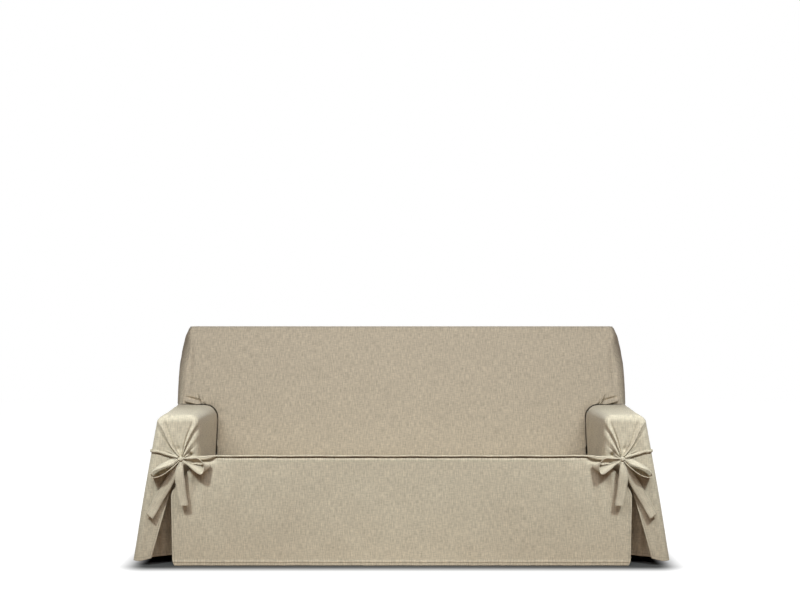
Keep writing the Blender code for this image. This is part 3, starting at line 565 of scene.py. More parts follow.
def flare(depth, height):
    """How far the hanging cloth swings out below its top, with a few slow waves that grow towards the hem.

    The start is soft: t squared divided by t plus 0.03.
    """
    fall = np.clip((flare_high - height) / (flare_high - arm_hem[0]), 0.0, 1.1)
    fall = 1.03 * fall**2 / (fall + 0.03)
    share = blend(1.0, flare_back, soft_step(depth / arm_back))
    ripple = sum(reach * bell((depth - place) / width) for place, reach, width in side_waves)
    return share * flare_wide * fall * (1.0 - 0.095 * fall) + ripple * fall**1.5

# %% The side panel's shape
def back_side(across, height):
    """The side panel: above the arm it turns round the side edge, below it hangs with the arm's flare."""
    turned, straight = np.clip(across / 0.45, 0.0, 1.0), np.clip((across - 0.45) / 0.55, 0.0, 1.0)
    start = seam_angle + 1.8 * seam / side_reach(height)[0]
    upper_out, upper_depth = side_edge(blend(start, np.pi / 2, turned), height)
    upper_depth = blend(upper_depth, outside_back(height), straight)
    lower_depth = blend(arm_back + seam, outside_back(height), across)
    above = soft_step((height - 0.602) / 0.012)
    return (blend(arm_side(lower_depth) + flare(lower_depth, height), upper_out, above),
            blend(lower_depth, upper_depth, above))

# %% Side panels
# Depth and height of each crease's start and end, its height and its half width.
side_creases = (
    (0.700, 0.640, 0.760, 0.760, -0.0030, 0.010),
    (0.680, 0.700, 0.730, 0.840, 0.0025, 0.009),
    (0.735, 0.930, 0.745, 0.800, -0.0035, 0.009),
    (0.760, 0.940, 0.775, 0.790, 0.0025, 0.010),
    (0.800, 0.930, 0.790, 0.780, -0.0015, 0.014),
)
rows = spread((0.002, 0.02, 12), (0.02, 0.59, 60), (0.59, 0.63, 14), (0.63, back_top - 0.0025, 60))[None, :]
across = spread((0.0, 0.45, 22), (0.45, 1.0, 22))[:, None]
side_out, side_depth = back_side(across, rows)
hidden = soft_step((rows - 0.60) / 0.02)
relief = (creases(side_depth, rows, side_creases) + 0.0010 * waves(side_depth, rows, 0.09, 21, 2.5)) * hidden
relief = relief + 0.0008 * waves(side_depth, rows, 0.12, 22, 3.0) * (1 - hidden)
relief = relief * np.sin(np.pi * across) ** 0.5
side_uv = np.stack(np.broadcast_arrays(side_depth, rows), axis=-1)
side_points = stack(side_out + relief, side_depth, rows)
for side, word in sides:
    panel = sheet_piece(f"back_side_cloth_{word}", side_points, side_uv, linen_panel, side, edge=rows)
    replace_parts(panel, f"back_side_{word}")

# %% Outside back
rows = spread((0.002, 0.02, 12), (0.02, back_top - cloth / 2 - seam, 90))[None, :]
across = np.linspace(0.0, 1.0, 90)[:, None]
inset = (cloth + 0.001) / 2
half = back_side(1.0, rows)[0] - inset - seam
sway = 0.004 * (1.0 + np.cos(5 * np.pi * across)) * (1.0 - rows / back_top)
sway = sway + 0.0008 * (1.2 + waves(across, rows, 0.25, 31, 2.0)) * np.sin(np.pi * rows / back_top)
rear = both_sides(stack(across * half, outside_back(rows) - inset - sway * (1 - across**8), rows))
rear_cloth = sheet_piece("outside_back_cloth", rear, rear[..., ::2], linen_panel, edge=rows)
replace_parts(rear_cloth, "outside_back")

# %% [markdown]
# ## Skirt
#
# The skirt hangs from the piping to the floor. Its top corners are gathered up to the knots, so soft folds
# run down from there. Its hem is turned up and stitched, which shows as a fine line above the edge. A
# simulation would make folds of its own choice. A short table puts each one where the photograph shows it.

# %% Folds and creases of the skirt
# Each fold: how far out it is at its top and foot, height forwards, half width, and how high above the floor
# it fades out.
skirt_folds = (
    (0.846, 0.900, 0.0055, 0.011, 0.12),
    (0.822, 0.850, -0.0030, 0.009, 0.20),
    (0.800, 0.808, 0.0040, 0.011, 0.20),
    (0.752, 0.735, 0.0024, 0.016, 0.12),
    (0.700, 0.680, 0.0016, 0.020, 0.10),
    (0.640, 0.650, -0.0012, 0.024, 0.16),
)
# Out and height of each crease's start and end, its height and its half width. They point to the knot.
skirt_creases = (
    (0.842, 0.428, 0.770, 0.405, 0.0030, 0.0050),
    (0.842, 0.424, 0.790, 0.380, 0.0028, 0.0055),
    (0.840, 0.420, 0.812, 0.350, 0.0026, 0.0060),
    (0.780, 0.432, 0.700, 0.424, -0.0020, 0.0040),
)

# %% Front skirt
skirt_foot, skirt_top = 0.0006, 0.4408


def skirt_half(height):
    """Half width of the skirt: upright, then swept in to its top corner, with a rounded foot."""
    rounded = 0.008 * np.clip(1.0 - height / 0.03, 0.0, 1.0) ** 2
    swept_in = 0.0854 * soft_step((height - 0.28) / 0.1455)
    return 0.932 + 0.005 * np.clip(height / 0.28, 0.0, 1.0) - swept_in - rounded


share = spread((0.0, 0.70, 50), (0.70, 1.0, 90))[:, None]
rise = spread((0.0, 0.045, 14), (0.045, 0.60, 44), (0.60, 0.985, 64), (0.985, 1.0, 6))[None, :]
height = blend(skirt_foot, skirt_top, rise)
out = share * skirt_half(height)
depth = cloth / 2 + 0.0012 * (1.0 + np.cos(9 * np.pi * share)) * (1.0 - rise)
for top_out, foot_out, forward, width, fade in skirt_folds:
    strength = soft_step((height - fade) / (0.40 - fade)) * (1.0 - 0.7 * soft_step((height - 0.40) / 0.03))
    depth = depth - forward * strength * bell((out - blend(foot_out, top_out, rise)) / width)
depth = depth - creases(out, height, skirt_creases) * (1 - soft_step((rise - 0.95) / 0.05))
depth = depth - 0.0009 * waves(out, height, 0.11, 41, 3.0) * np.sin(np.pi * rise)
depth = depth - 0.0012 * bell((height - hem_line - 0.004) / 0.003)
# At the top it turns in under the piping, and further out it stays behind the tie.
depth = depth + 0.0050 * soft_step((rise - 0.972) / 0.028)
behind_tie = soft_step((out - 0.745) / 0.030) * soft_step((height - 0.412) / 0.016)
depth = blend(depth, np.maximum(depth, 0.0075), behind_tie)
to_hem = np.minimum(height, (skirt_half(height) - out) + 0.004)
skirt = both_sides(stack(out, depth, height))
skirt_edge = np.concatenate([to_hem[:0:-1], to_hem])
skirt_cloth = sheet_piece("skirt_cloth", skirt, skirt[..., ::2], linen_panel, edge=skirt_edge)
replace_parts(skirt_cloth, "front_skirt")

# %% [markdown]
# ## Arm covers
#
# One cloth wraps each arm: up its inner side, over the top, down the outer side, and forwards round the
# front edge. There the tie draws it together, so folds fan out from the knot, and below the knot it hangs
# free as a flap. In numbers, each column of the grid follows one thread: along the arm, round the front
# edge, then straight to the knot. Where columns meet at the knot the folds stand highest, just as gathered
# cloth has nowhere else to go.

# %% Sizes and folds of the arm cover
knot = np.array([0.8945, -0.012, 0.4335])     # its centre: out, depth and height
gather = 0.010           # radius of the hole that the drawn cloth leaves behind the knot
inner_edge, outer_edge = (0.036, 0.060), (0.038, 0.016)    # radii of its top edges, at the front and back

# Direction from the knot (degrees from straight up, outwards positive), height, half width 0.1 m from the
# knot, the distance at which the fold fades out, and how many degrees it has turned when it is 0.16 m away.
fan_folds = (
    (44.0, 0.0102, 0.0036, 0.260, -12.0),
    (51.5, -0.0052, 0.0036, 0.200, -12.5),
    (36.5, -0.0052, 0.0036, 0.230, -11.0),
    (-5.5, -0.0056, 0.0032, 0.215, -10.5),
    (-12.5, 0.0085, 0.0034, 0.250, -9.0),
    (-19.0, -0.0056, 0.0032, 0.205, -8.0),
    (-31.0, 0.0056, 0.0084, 0.150, -3.0),
    (-46.0, -0.0034, 0.0044, 0.090, 0.0),
    (-60.0, 0.0030, 0.0060, 0.060, 0.0),
    (8.0, 0.0030, 0.0050, 0.110, 4.0),
    (20.0, -0.0022, 0.0060, 0.120, 2.0),
    (62.0, 0.0030, 0.0040, 0.085, 0.0),
    (68.0, -0.0024, 0.0040, 0.070, 0.0),
)
# Hollows beside the knot: out, height, depth and radius.
hollows = ((0.9075, 0.4740, 0.0050, 0.0110), (0.8590, 0.4480, 0.0150, 0.0105))

# Start and end of each crease, its height and its half width: of the arm's inner side by depth and height,
# and of its front and flap by out and height.
inner_creases = (
    (0.060, 0.445, 0.085, 0.560, 0.0030, 0.012),
    (0.130, 0.440, 0.120, 0.540, -0.0025, 0.014),
    (0.210, 0.430, 0.230, 0.570, 0.0020, 0.018),
    (0.330, 0.420, 0.310, 0.560, -0.0015, 0.022),
    (0.420, 0.400, 0.450, 0.560, 0.0016, 0.024),
)
flap_creases = (
    (0.965, 0.420, 1.010, 0.120, 0.0022, 0.014),
    (0.940, 0.400, 0.985, 0.150, -0.0018, 0.012),
    (1.000, 0.440, 1.060, 0.100, -0.0020, 0.014),
)

# %% The arm's section
def arm_outline(column, depth):
    """A point of the arm's section, out and height, and the way from there into the arm's face.

    The column number runs 0 to 1 up the inner side, 1 to 2 round its corner, 2 to 3 over the top, 3 to 4
    round the outer corner and 4 to 5 down the outer side to the hem.
    """
    back, outer = soft_step(depth / arm_back), arm_side(depth)
    inner_r, outer_r = blend(*inner_edge, back), blend(*outer_edge, back)
    turn = np.pi / 2 * np.clip(np.where(column < 2.5, column - 1.0, column - 3.0), 0.0, 1.0)
    sine, cosine = np.sin(turn), np.cos(turn)
    stretches = [column < 1, column < 2, column < 3, column < 4]
    out = np.select(stretches, [
        arm_inner + 0.0 * back,
        arm_inner + inner_r * (1.0 - cosine),
        blend(arm_inner + inner_r, outer - outer_r, column - 2.0),
        outer - outer_r * (1.0 - sine),
    ], outer)
    height = np.select(stretches, [
        blend(seat_height(depth) - cloth / 2, arm_top - inner_r, column),
        arm_top - inner_r * (1.0 - sine),
        arm_top + 0.0 * back,
        arm_top - outer_r * (1.0 - cosine),
    ], blend(arm_top - outer_r, blend(*arm_hem, back), column - 4.0))
    out = out + np.where(column >= 3, flare(depth, height), 0.0)
    into_out = np.select(stretches, [1.0, cosine, 0.0, -sine], -1.0)
    into_up = np.select(stretches, [0.0, -sine, -1.0, -cosine], 0.0)
    return out, height, into_out, into_up

# %% The front edge and the way to the knot
def nose(column):
    """Radius of the front edge: larger down the flap, where the cloth hangs free."""
    return blend(*nose_radius, soft_step((column - 4.2) / 0.8))


def face_edge(column):
    """Where a column comes round onto the front face: out and height."""
    out, height, into_out, into_up = arm_outline(column, arm_front + nose(column))
    return out + into_out * nose(column), height + into_up * nose(column)


def fan_columns(directions):
    """The columns that lie in given directions from the knot, in degrees from straight up."""
    column = np.linspace(0.0, 4.4, 881)
    out, height = face_edge(column)
    return np.interp(directions, np.degrees(np.arctan2(out - knot[0], height - knot[2])), column)


def flap_edge(height):
    """How far out the flap's free edge is: from the knot it falls in a slight curve to the hem."""
    fall = np.clip((0.42 - height) / (0.42 - 0.026), 0.0, 1.1)
    return 0.900 + 0.120 * fall**0.9

# %% Folds that run to the knot
def fan_relief(points):
    """Height of the folds that run to the knot: from the front each is a bell across a slightly bent ray.

    A fold widens with its distance, rises over its first 20 mm and fades with the square of the distance.
    """
    direction = np.arctan2(points[..., 0] - knot[0], points[..., 2] - knot[2])
    reach = np.hypot(points[..., 0] - knot[0], points[..., 2] - knot[2])
    lift = 0.006 * bell(reach / 0.030)
    for lean, rise, width, fade, bend in fan_folds:
        middle = np.radians(lean + bend * soft_step(reach / 0.16))
        wide = width * np.clip(0.35 + 6.5 * reach, 0.35, 1.4)
        strength = soft_step(reach / 0.02) * np.clip(1.0 - (reach / fade) ** 2, 0.0, 1.0)
        lift = lift + rise * strength * bell(reach * (direction - middle) / wide)
    over_edge = 1.0 - soft_step((points[..., 1] - arm_front - 0.012) / 0.030)
    return lift * over_edge * (direction < np.radians(95))

# %% [markdown]
# The cover's surface is built in three stretches that share their columns: the side, a quarter turn round
# the front edge, and the front face. Sculpting could add the folds, but then they would be hard to move.
# Here the relief is a height along the surface's own normals, so a fold that starts at the knot runs on
# over the front edge without a step.

# %% The arm cover's surface
def arm_surface(column, side_share, nose_share, face_share):
    """The arm cover's middle surface, and its flat measures for the weave."""
    column = np.asarray(column, float)[:, None]
    radius = nose(column)
    rear_height = arm_outline(column, arm_back)[1]
    follow = 0.8 * tuck_deep * soft_step((3.1 - column) / 0.4)
    rear = np.where(column < 4, back_face(rear_height) + follow - sewn_on - cloth / 2, arm_back)
    side_depth = blend(rear, arm_front + radius, np.asarray(side_share)[None, :])
    side_out, side_height, _, _ = arm_outline(column, side_depth)

    base_out, base_height, into_out, into_up = arm_outline(column, arm_front + radius)
    turn = np.asarray(nose_share)[None, :] * np.pi / 2
    inward = radius * (1.0 - np.cos(turn))
    nose_out, nose_height = base_out + into_out * inward, base_height + into_up * inward
    nose_depth = arm_front + radius * (1.0 - np.sin(turn))

    start_out, start_height = face_edge(column)
    direction = np.arctan2(start_out - knot[0], start_height - knot[2])
    hem = arm_outline(5.0, arm_front)[1]
    level = knot[2] - 0.004
    below = start_height < level
    flap_height = blend(0.028, knot[2] - gather, (start_height - hem) / (level - hem))
    end_out = np.where(below, flap_edge(flap_height), knot[0] + gather * np.sin(direction))
    end_height = np.where(below, flap_height, knot[2] + gather * np.cos(direction))
    share = np.asarray(face_share)[None, :]
    face_out, face_height = blend(start_out, end_out, share), blend(start_height, end_height, share)
    side_part = stack(side_out, side_depth, side_height)
    nose_part = stack(nose_out, nose_depth, nose_height)
    face_part = stack(face_out, arm_front, face_height)
    smooth = np.concatenate([side_part, nose_part, face_part], axis=1)

    steps = np.pad(np.linalg.norm(np.diff(smooth, axis=1), axis=-1), ((0, 0), (0, 1)))
    reach = np.cumsum(steps[:, ::-1], axis=1)[:, ::-1]
    outward = normals(smooth)
    outward = outward * np.sign(-outward[:, -1:, 1:2])
    lift = fan_relief(smooth) + arm_relief(column, smooth, share.size)
    flat = reach - np.sum(steps[:, -share.size:], axis=1, keepdims=True)
    uv = np.stack([start_out - into_out * flat, start_height - into_up * flat], axis=-1)
    uv[:, -share.size:] = smooth[:, -share.size:, ::2]
    return smooth + outward * lift[..., None], uv

# %% The arm cover's smaller creases and waves
def arm_relief(column, points, face_rows):
    """Height of the creases and waves that don't run to the knot, each on its own part of the cover."""
    out, depth, height = points[..., 0], points[..., 1], points[..., 2]
    inner, outer = soft_step((1.4 - column) / 0.6), soft_step((column - 3.8) / 0.5)
    away = soft_step((depth - 0.02) / 0.05) * soft_step((0.60 - depth) / 0.08)
    inside = creases(depth, height, inner_creases) + 0.0012 * waves(depth, height, 0.10, 51, 3.0)
    lift = inner * away * inside * soft_step((height - seat_height(depth) - 0.006) / 0.030)
    off_hem = soft_step((height - 0.03) / 0.05)
    lift = lift + outer * away * 0.0014 * waves(depth, height, 0.11, 52, 3.5) * off_hem
    at_back = soft_step((depth - back_face(height) + 0.030) / 0.030)
    lift = lift - 0.0025 * soft_step((2.9 - column) / 0.6) * at_back
    top = soft_step((column - 1.4) / 0.4) * soft_step((3.9 - column) / 0.4)
    lift = lift + top * away * 0.0010 * waves(out, depth, 0.07, 53, 1.6)
    on_face = np.zeros(points.shape[1])
    rise, fade = np.linspace(0.0, 4.0, face_rows), np.linspace(8.0, 0.0, face_rows)
    on_face[-face_rows:] = soft_step(rise) * soft_step(fade)
    lift = lift + on_face * 0.0007 * waves(out, height, 0.045, 54, 2.5)
    lift = lift + on_face * outer * creases(out, height, flap_creases)
    at_front = 1.0 - soft_step((depth - arm_front - 0.010) / 0.015)
    for hollow_out, hollow_height, deep, radius in hollows:
        lift = lift - at_front * deep * bell(np.hypot(out - hollow_out, height - hollow_height) / radius)
    return lift

# %% Arm covers
# Columns lie closest where the folds are: they are spread evenly by their direction from the knot.
fan = fan_columns(np.linspace(-76.0, 92.0, 200))
fan = fan[fan > 0.03]
down = spread((fan[-1], 4.97, 60), (4.97, 5.0, 8))[1:]
column = np.concatenate([spread((0.0, fan[0], 4))[:-1], fan, down])
arm_points, arm_uv = arm_surface(column, spread((0.0, 1.0, 44))[:-1], np.linspace(0.0, 1.0, 15)[:-1],
                                 np.linspace(0.0, 1.0, 64))
hem_way = (5.0 - column)[:, None] * 0.55 + 0.0 * arm_points[..., 0]
free_way = np.linalg.norm(arm_points - arm_points[:, -1:], axis=-1) + 0.004 + 0.1 * (column[:, None] < 4.45)
arm_edge = np.minimum(hem_way, free_way)
print("arm cover grid:", arm_points.shape)
for side, word in sides:
    cover = sheet_piece(f"arm_cloth_{word}", arm_points, arm_uv, linen_panel, side, edge=arm_edge)
    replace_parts(cover, f"arm_cover_{word}")

# %% [markdown]
# ## The pleat's inner layer
#
# Behind the gap between flap and skirt hangs a narrow panel, so that the sofa never shows. It lies in
# shadow, which is why the gap looks dark. Its top is sewn on behind the arm's front, and it falls back from
# there. A flat plane would do for a gap this narrow, but one soft wave across it keeps the shadow from
# looking like card.

# %% Pleat underlay
fall = spread((0.0, 0.06, 4), (0.06, 0.96, 60), (0.96, 1.0, 8))[None, :]
share = np.linspace(0.0, 1.0, 40)[:, None]
top_out, foot_out, under_top = (0.852, 0.940), (0.880, 1.045), 0.427
out = blend(blend(*top_out, share), blend(*foot_out, share), fall)
height = blend(under_top, blend(0.034, 0.024, share), fall)
hang = 1.0 - (1.0 - np.clip((fall - 0.06) / 0.94, 0.0, 1.0)) ** 1.6
depth = blend(arm_front + cloth + 4 * seam, blend(0.095, 0.060, share), hang)
depth = depth + 0.005 * np.sin(2 * np.pi * share) * hang + 0.003 * waves(out, height, 0.05, 61, 4.0) * hang
under_points = stack(out, depth, height)
under_edge = (1.0 - fall) * 0.42 + 0.0 * share
for side, word in sides:
    under = sheet_piece(f"pleat_cloth_{word}", under_points, under_points[..., ::2], linen_panel, side,
                        edge=under_edge)
    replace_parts(under, f"pleat_underlay_{word}")

# %% [markdown]
# ## Ties
#
# The bow is a long ribbon of the same cloth, sewn double. Its loops and ends are each a strip carried along
# a smooth curve, turned as the ribbon twists. A curve object with a bevel would be quicker, but a strip on
# a grid can crumple where the knot pinches it and curl a little across.

# %% Places of the loops and ends, in centimetres from the knot
# Each row is a place along the ribbon: its middle (out, depth, up), the way its width points, and its width.
outer_loop = (
    (1.40, -0.6, -0.3, 0.0, 0.6, 1.0, 0.8),
    (4.0, -0.5, -1.1, 0.1, 1.6, 2.0, 2.9),
    (7.2, -0.8, -2.3, 0.3, 3.2, 1.6, 3.6),
    (10.3, -0.7, -3.9, 0.2, 3.5, 0.8, 3.6),
    (12.0, -0.5, -5.9, 0.3, 3.5, 0.3, 3.6),
    (10.9, -0.3, -7.2, 0.3, 3.5, -0.1, 3.5),
    (8.0, -0.4, -6.6, 0.2, 3.4, -0.3, 3.4),
    (4.8, -0.6, -4.4, 0.2, 2.6, 0.0, 2.7),
    (1.30, -0.8, -1.0, 0.1, 1.0, 0.6, 0.8),
)
inner_loop = (
    (-1.3, -0.80, 0.31, 0.0, 1.0, -0.8, 0.8),
    (-4.3, -1.1, -0.20, 0.0, 3.0, -2.2, 2.7),
    (-7.4, -1.1, -0.35, -0.5, 3.0, -2.2, 3.4),
    (-10.6, -0.9, -2.20, -2.6, 2.5, -0.3, 3.5),
    (-10.0, -1.0, -4.60, -1.9, 2.0, 1.4, 3.5),
    (-7.4, -1.2, -4.20, -0.3, 1.6, 2.8, 3.4),
    (-4.8, -1.2, -2.90, 0.2, 1.6, 2.0, 2.6),
    (-2.9, -1.1, -1.60, 0.2, 1.2, 1.1, 1.6),
    (-1.3, -0.8, -0.7, -0.2, 1.0, 0.5, 0.9),
)
outer_tail = (
    (0.5, 0.1, -1.3, 1.0, 0.2, 0.5, 0.9),
    (2.4, -0.2, -4.4, 0.9, 0.2, 0.5, 2.6),
    (4.3, 0.3, -8.2, 0.86, 0.1, 0.5, 3.6),
    (7.4, 0.9, -13.4, 0.86, 0.0, 0.5, 3.8),
    (9.8, 1.1, -17.4, 0.86, 0.0, 0.5, 3.8),
    (13.0, 0.9, -23.4, 0.76, 0.1, 0.65, 3.6),
)
inner_tail = (
    (-0.1, -0.7, -1.2, 1.0, 0.0, 0.0, 1.3),
    (0.4, -1.3, -4.4, 1.0, 0.1, 0.0, 3.2),
    (0.3, -1.3, -8.0, 1.0, 0.0, 0.0, 3.8),
    (-0.3, -1.1, -13.0, 1.0, 0.0, 0.08, 3.8),
    (-0.9, -1.0, -16.4, 1.0, -0.1, 0.0, 3.6),
    (-1.4, -1.0, -18.7, 1.0, -0.2, 0.0, 3.2),
)
knot_size = np.array([0.0145, 0.0110, 0.0120])     # half of its width, depth and height

# %% A ribbon from its table
ribbon_width = 0.038
cm = 0.01


def at_knot(point, gap):
    """The place on the knot's surface, plus a gap, towards a point given in metres from the knot's centre."""
    return point / np.linalg.norm(point / knot_size) + unit(point) * gap


def ribbon(rows, tied_ends, seed, crown=0.0012):
    """A ribbon's middle surface and flat measures: a curve through its rows, spread to both sides.

    It is a little crowned: 1 minus the square of the way out from its middle. Near a tied end it is pinched
    into three small pleats that die away over 25 mm.
    """
    table = np.array(rows, float)
    for end in (0, -1)[:tied_ends]:
        table[end, :3] = at_knot(table[end, :3] * cm, 2 * seam) * 100
        facing = unit(table[end, :3] / knot_size**2)
        table[end, 3:6] -= facing * (table[end, 3:6] @ facing)
    line = smooth_rows(table, 14)
    middle, width = line[:, :3] * cm, line[:, 6:7] * cm
    across = np.linspace(-0.5, 0.5, 17)[None, :]
    flat = knot + middle[:, None] + across[..., None] * unit(line[:, None, 3:6]) * width[..., None]
    along = travel(middle)[:, None]
    pinch = np.exp(-along / 0.025) + (np.exp(-(along[-1] - along) / 0.025) if tied_ends == 2 else 0.0)
    pleats = 0.0016 * pinch * np.cos(6 * np.pi * across) * (along > 0.004)
    uneven = 0.0006 * waves(across * ribbon_width, along, 0.03, seed, 2.0)
    lift = crown * (1 - 4 * across**2) + pleats + uneven
    uv = np.stack(np.broadcast_arrays(across * ribbon_width, along), axis=-1)
    edge = (0.5 - np.abs(across)) * width + hem_line - 0.003
    return flat + normals(flat) * lift[..., None], uv, edge

# %% Loops and ends of the bow
bow = (("outer_loop", outer_loop, 2, "folded", 0.26), ("inner_loop", inner_loop, 2, "folded", 0.19),
       ("outer_tail", outer_tail, 1, "hung", 0.27), ("inner_tail", inner_tail, 1, "hung", 0.18))
for side, word in sides:
    for name, rows, ends, held, length in bow:
        points, uv, edge = ribbon(rows, ends, 70 + len(name))
        strip = sheet_piece(f"{name}_ribbon_{word}", points, uv, linen_tie, side, edge, tape)
        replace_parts(strip, f"{name}_{word}")
print("ribbon grid:", points.shape)

# %% [markdown]
# ## Straps
#
# The two straps are rolled tapes. One lies round the arm's outer front edge, along one of the cover's own
# columns, so it can't sink into the cloth. The other carries the seat's piping on to the knot. A curve with
# a round bevel could make them, but rings of points also take a shallow groove that runs round them in a
# slow spiral, where the tape's edge shows.

# %% A rolled tape
# Each row: out, depth and height of the inner strap's middle, and half of its thickness level and upright.
inner_strap = (
    (0.7486, 0.0010, 0.4455, 0.0033, 0.0036),
    (0.7560, 0.0008, 0.4454, 0.0033, 0.0037),
    (0.7750, -0.0026, 0.4430, 0.0030, 0.0056),
    (0.7950, -0.0037, 0.4390, 0.0030, 0.0074),
    (0.8200, -0.0042, 0.4374, 0.0030, 0.0078),
    (0.8500, -0.0066, 0.4362, 0.0032, 0.0070),
    (0.8798, -0.0115, 0.4345, 0.0036, 0.0050),
)


def strap_rings(line, thick, high, twist, seed):
    """Rings of a rolled tape: an upright ellipse along a line, with a groove that winds slowly round it."""
    along = unit(np.gradient(line, axis=0))
    up = unit(np.array([0.0, 0.0, 1.0]) - along * along[:, 2:3])
    through = np.cross(along, up)
    turn = np.linspace(0.0, 2 * np.pi, 33)[:-1][None, :, None]
    way = travel(line)[:, None, None]
    groove = 0.30 * bell(np.angle(np.exp(1j * (turn - twist * way / way[-1] - 0.8))) / 0.22)
    size = 1.0 - groove + 0.05 * waves(turn * 0.01, way, 0.03, seed)
    return (line[:, None] + through[:, None] * thick[:, None, None] * np.cos(turn) * size
            + up[:, None] * high[:, None, None] * np.sin(turn) * size)

# %% Lay the straps
strap_direction, strap_start = 73.0, 0.085    # degrees from straight up at the knot, and its far end's depth
base = arm_front + nose_radius[0]
beside = fan_columns([strap_direction])[0] + np.array([-0.01, 0.0, 0.01])
surface, _ = arm_surface(beside, np.linspace(1.0 - (strap_start - base) / (arm_back - base), 1.0, 14)[:-1],
                         np.linspace(0.0, 1.0, 14)[:-1], np.linspace(0.0, 0.955, 40))
outward = normals(surface)[1]
outward = outward * np.sign(-outward[-1:, 1:2])
way = np.linspace(0.0, 1.0, surface.shape[1])
thick = np.interp(way, (0.0, 0.6, 1.0), (0.0032, 0.0034, 0.0040))
high = np.interp(way, (0.0, 0.6, 1.0), (0.0048, 0.006, 0.005))
reach = np.linalg.norm((surface[1] - knot)[:, ::2], axis=1)
line = surface[1] + outward * (cloth / 2 + 1.6 * seam + thick)[:, None]
line[:, 1] = line[:, 1] - 0.0125 * soft_step((0.060 - reach) / 0.045)
outer_rings = strap_rings(line, thick, high, 1.4, 81)
row = smooth_rows(inner_strap, 12)
inner_rings = strap_rings(row[:, :3], row[:, 3], row[:, 4], -2.0, 82)

# %% [markdown]
# ## Knots
#
# A knot is the ribbon wrapped once round itself. Seen close it is a lump with an upright band over its
# middle and a bulge at each side where the loops come out. A strip really wrapped round would be mostly
# hidden. One function of two angles gives what shows: an ellipsoid whose size goes up and down along its
# length.

# %% Knots
turn = np.linspace(0.0, 2 * np.pi, 49)[:-1][None, :]
tilt = np.linspace(-0.495 * np.pi, 0.495 * np.pi, 41)[:, None]
band = 0.10 * bell(np.sin(tilt) / 0.30) - 0.26 * bell((np.abs(np.sin(tilt)) - 0.46) / 0.09)
pleats = 0.05 * np.cos(5 * turn + 3.0 * tilt) * (1 - bell(np.sin(tilt) / 0.4))
size = 0.93 + band + pleats
knot_rings = knot + stack(np.sin(tilt) * knot_size[0], size * np.cos(tilt) * np.cos(turn) * knot_size[1],
                          size * np.cos(tilt) * np.sin(turn) * knot_size[2])
tapes = ("bow_knot", knot_rings), ("outer_strap", outer_rings), ("inner_strap", inner_rings)
for side, word in sides:
    for name, rings in tapes:
        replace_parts(tube_piece(f"{name}_tape_{word}", rings, linen_tie, side), f"{name}_{word}")

# %% [markdown]
# ## Studio
#
# The photograph has a white floor and background and soft light. On each half the shadows fall towards the
# middle, so a lamp stands high at each outer side. It isn't shone at the inside back, where the arm's
# shadow would show and the photograph has none, nor at the rear panel. A broad lamp overhead opens the
# shadows, and one behind lights the rear. The floor glows white outside the cover's footprint, for the
# camera alone. Close round the footprint the camera sees the floor nearly black: that is painted shade,
# the dark contact line below the hem. One sun lamp would be simpler, but its hard shadows would all fall
# to one side.

# %% Floor
floor_mesh = bpy.data.meshes.new("floor")
floor_mesh.from_pydata([(-9, -9, 0), (9, -9, 0), (9, 9, 0), (-9, 9, 0)], [], [(0, 1, 2, 3)])
floor = bpy.data.objects.new("floor", floor_mesh)
bpy.context.scene.collection.objects.link(floor)
footprint = (1.02, 0.43, 0.0)     # a little under half of the cover's width and depth
paper = bpy.data.materials.new("white paper")
paper.use_nodes = True
tree = paper.node_tree
ground = tree.nodes["Principled BSDF"]
ground.inputs["Roughness"].default_value = 0.9
place = add(tree, "ShaderNodeTexCoord").outputs["Object"]
place = add(tree, "ShaderNodeVectorMath", {0: place}, operation="ABSOLUTE").outputs[0]
place = add(tree, "ShaderNodeVectorMath", {0: place, 1: footprint}, operation="SUBTRACT").outputs[0]
place = add(tree, "ShaderNodeVectorMath", {0: place, 1: (0.0, 0.0, 0.0)}, operation="MAXIMUM").outputs[0]
away = add(tree, "ShaderNodeVectorMath", {0: place}, operation="LENGTH").outputs["Value"]
# The glow stays off within 2 cm of the footprint and fades in by 15 cm. Inside that margin the floor shows
# its nearly black camera colour, a painted contact shadow.
glow = add(tree, "ShaderNodeMapRange", {
    "Value": away, "From Min": 0.02, "From Max": 0.15,
    "To Min": 0.0, "To Max": 1.0}, interpolation_type="SMOOTHSTEP")
seen = add(tree, "ShaderNodeLightPath").outputs["Is Camera Ray"]
# For the camera the floor's own colour is nearly black. Where the glow is off, round the footprint, this
# paints the contact shadow below the hem.
bounce, painted_contact_shade = (0.34, 0.24, 0.17), (0.05, 0.05, 0.05)     # its colour for the cloth, and for the camera
tint = add(tree, "ShaderNodeMix", {0: seen, 4: bounce, 5: painted_contact_shade}, data_type="VECTOR")
tree.links.new(tint.outputs[1], ground.inputs["Base Color"])
glow = add(tree, "ShaderNodeMath", {0: glow.outputs["Result"], 1: seen}, operation="MULTIPLY").outputs[0]
ground.inputs["Emission Color"].default_value = (1.0, 1.0, 1.0, 1.0)
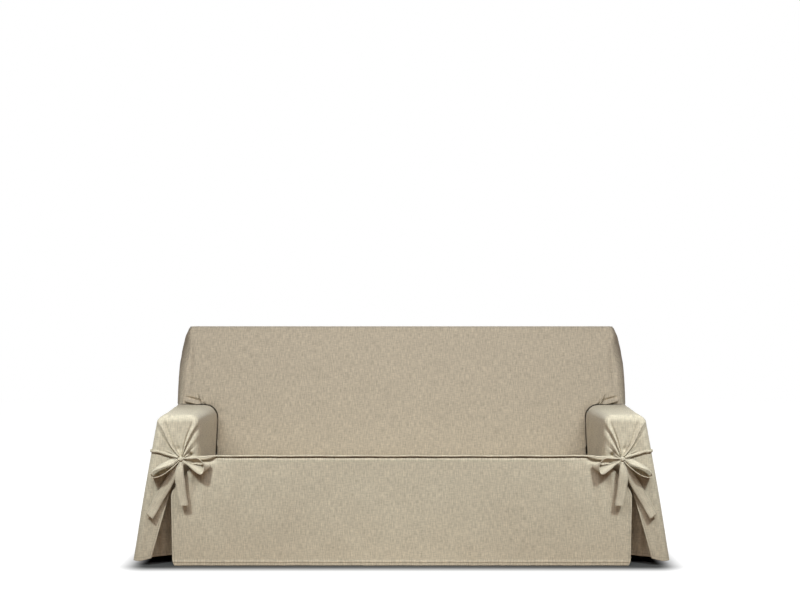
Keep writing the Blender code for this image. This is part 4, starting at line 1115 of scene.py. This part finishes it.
tree.links.new(glow, ground.inputs["Emission Strength"])
floor_mesh.materials.append(paper)

# %% Background
world = bpy.data.worlds.new("studio")
bpy.context.scene.world = world
world.use_nodes = True
sky = world.node_tree.nodes["Background"]
seen = add(world.node_tree, "ShaderNodeLightPath").outputs["Is Camera Ray"]
fill, white = (0.03, 0.018, 0.012), (1.0, 1.0, 1.0)     # its colour for the cloth, and for the camera
shade = add(world.node_tree, "ShaderNodeMix", {0: seen, 4: fill, 5: white}, data_type="VECTOR")
world.node_tree.links.new(shade.outputs[1], sky.inputs["Color"])

# %% Lamps
def lamp(name, kind, place, target, power, **settings):
    """Add a lamp at a place, turned to a target."""
    light = bpy.data.lights.new(name, kind)
    light.energy = power
    for key, value in settings.items():
        setattr(light, key, value)
    holder = bpy.data.objects.new(name, light)
    way = unit(np.array(place, float) - np.array(target, float))
    holder.location = place
    holder.rotation_euler = (np.arccos(way[2]), 0.0, np.arctan2(way[0], -way[1]))
    bpy.context.scene.collection.objects.link(holder)
    return holder


near = bpy.data.collections.new("lit from the sides")
far = bpy.data.collections.new("not lit from the sides")
for piece in bpy.context.scene.objects:
    if piece.type == "MESH":
        (far if piece in (inside_cloth, rear_cloth) else near).objects.link(piece)
for side, word in sides:
    key = lamp(f"key_{word}", "SPOT", (1.8 * side, front_y - 1.4, 2.6), (0.70 * side, front_y, 0.42), 262.0,
               spot_size=np.radians(36), spot_blend=1.0, shadow_soft_size=0.12, color=(0.89, 1.0, 1.0))
    key.light_linking.receiver_collection = near
for name, group, power in (("overhead_near", near, 70.0), ("overhead_far", far, 85.0)):
    overhead = lamp(name, "AREA", (0.0, front_y - 1.4, 2.4), (0.0, front_y + 0.3, 0.4), power,
                    shape="RECTANGLE", size=5.0, size_y=0.8)
    overhead.light_linking.receiver_collection = group
lamp("rear", "AREA", (0.0, front_y + 4.2, 2.1), (0.0, front_y + depth_all, 0.5), 150.0, shape="RECTANGLE",
     size=4.0, size_y=1.0)
bpy.context.scene.view_settings.view_transform = "Standard"
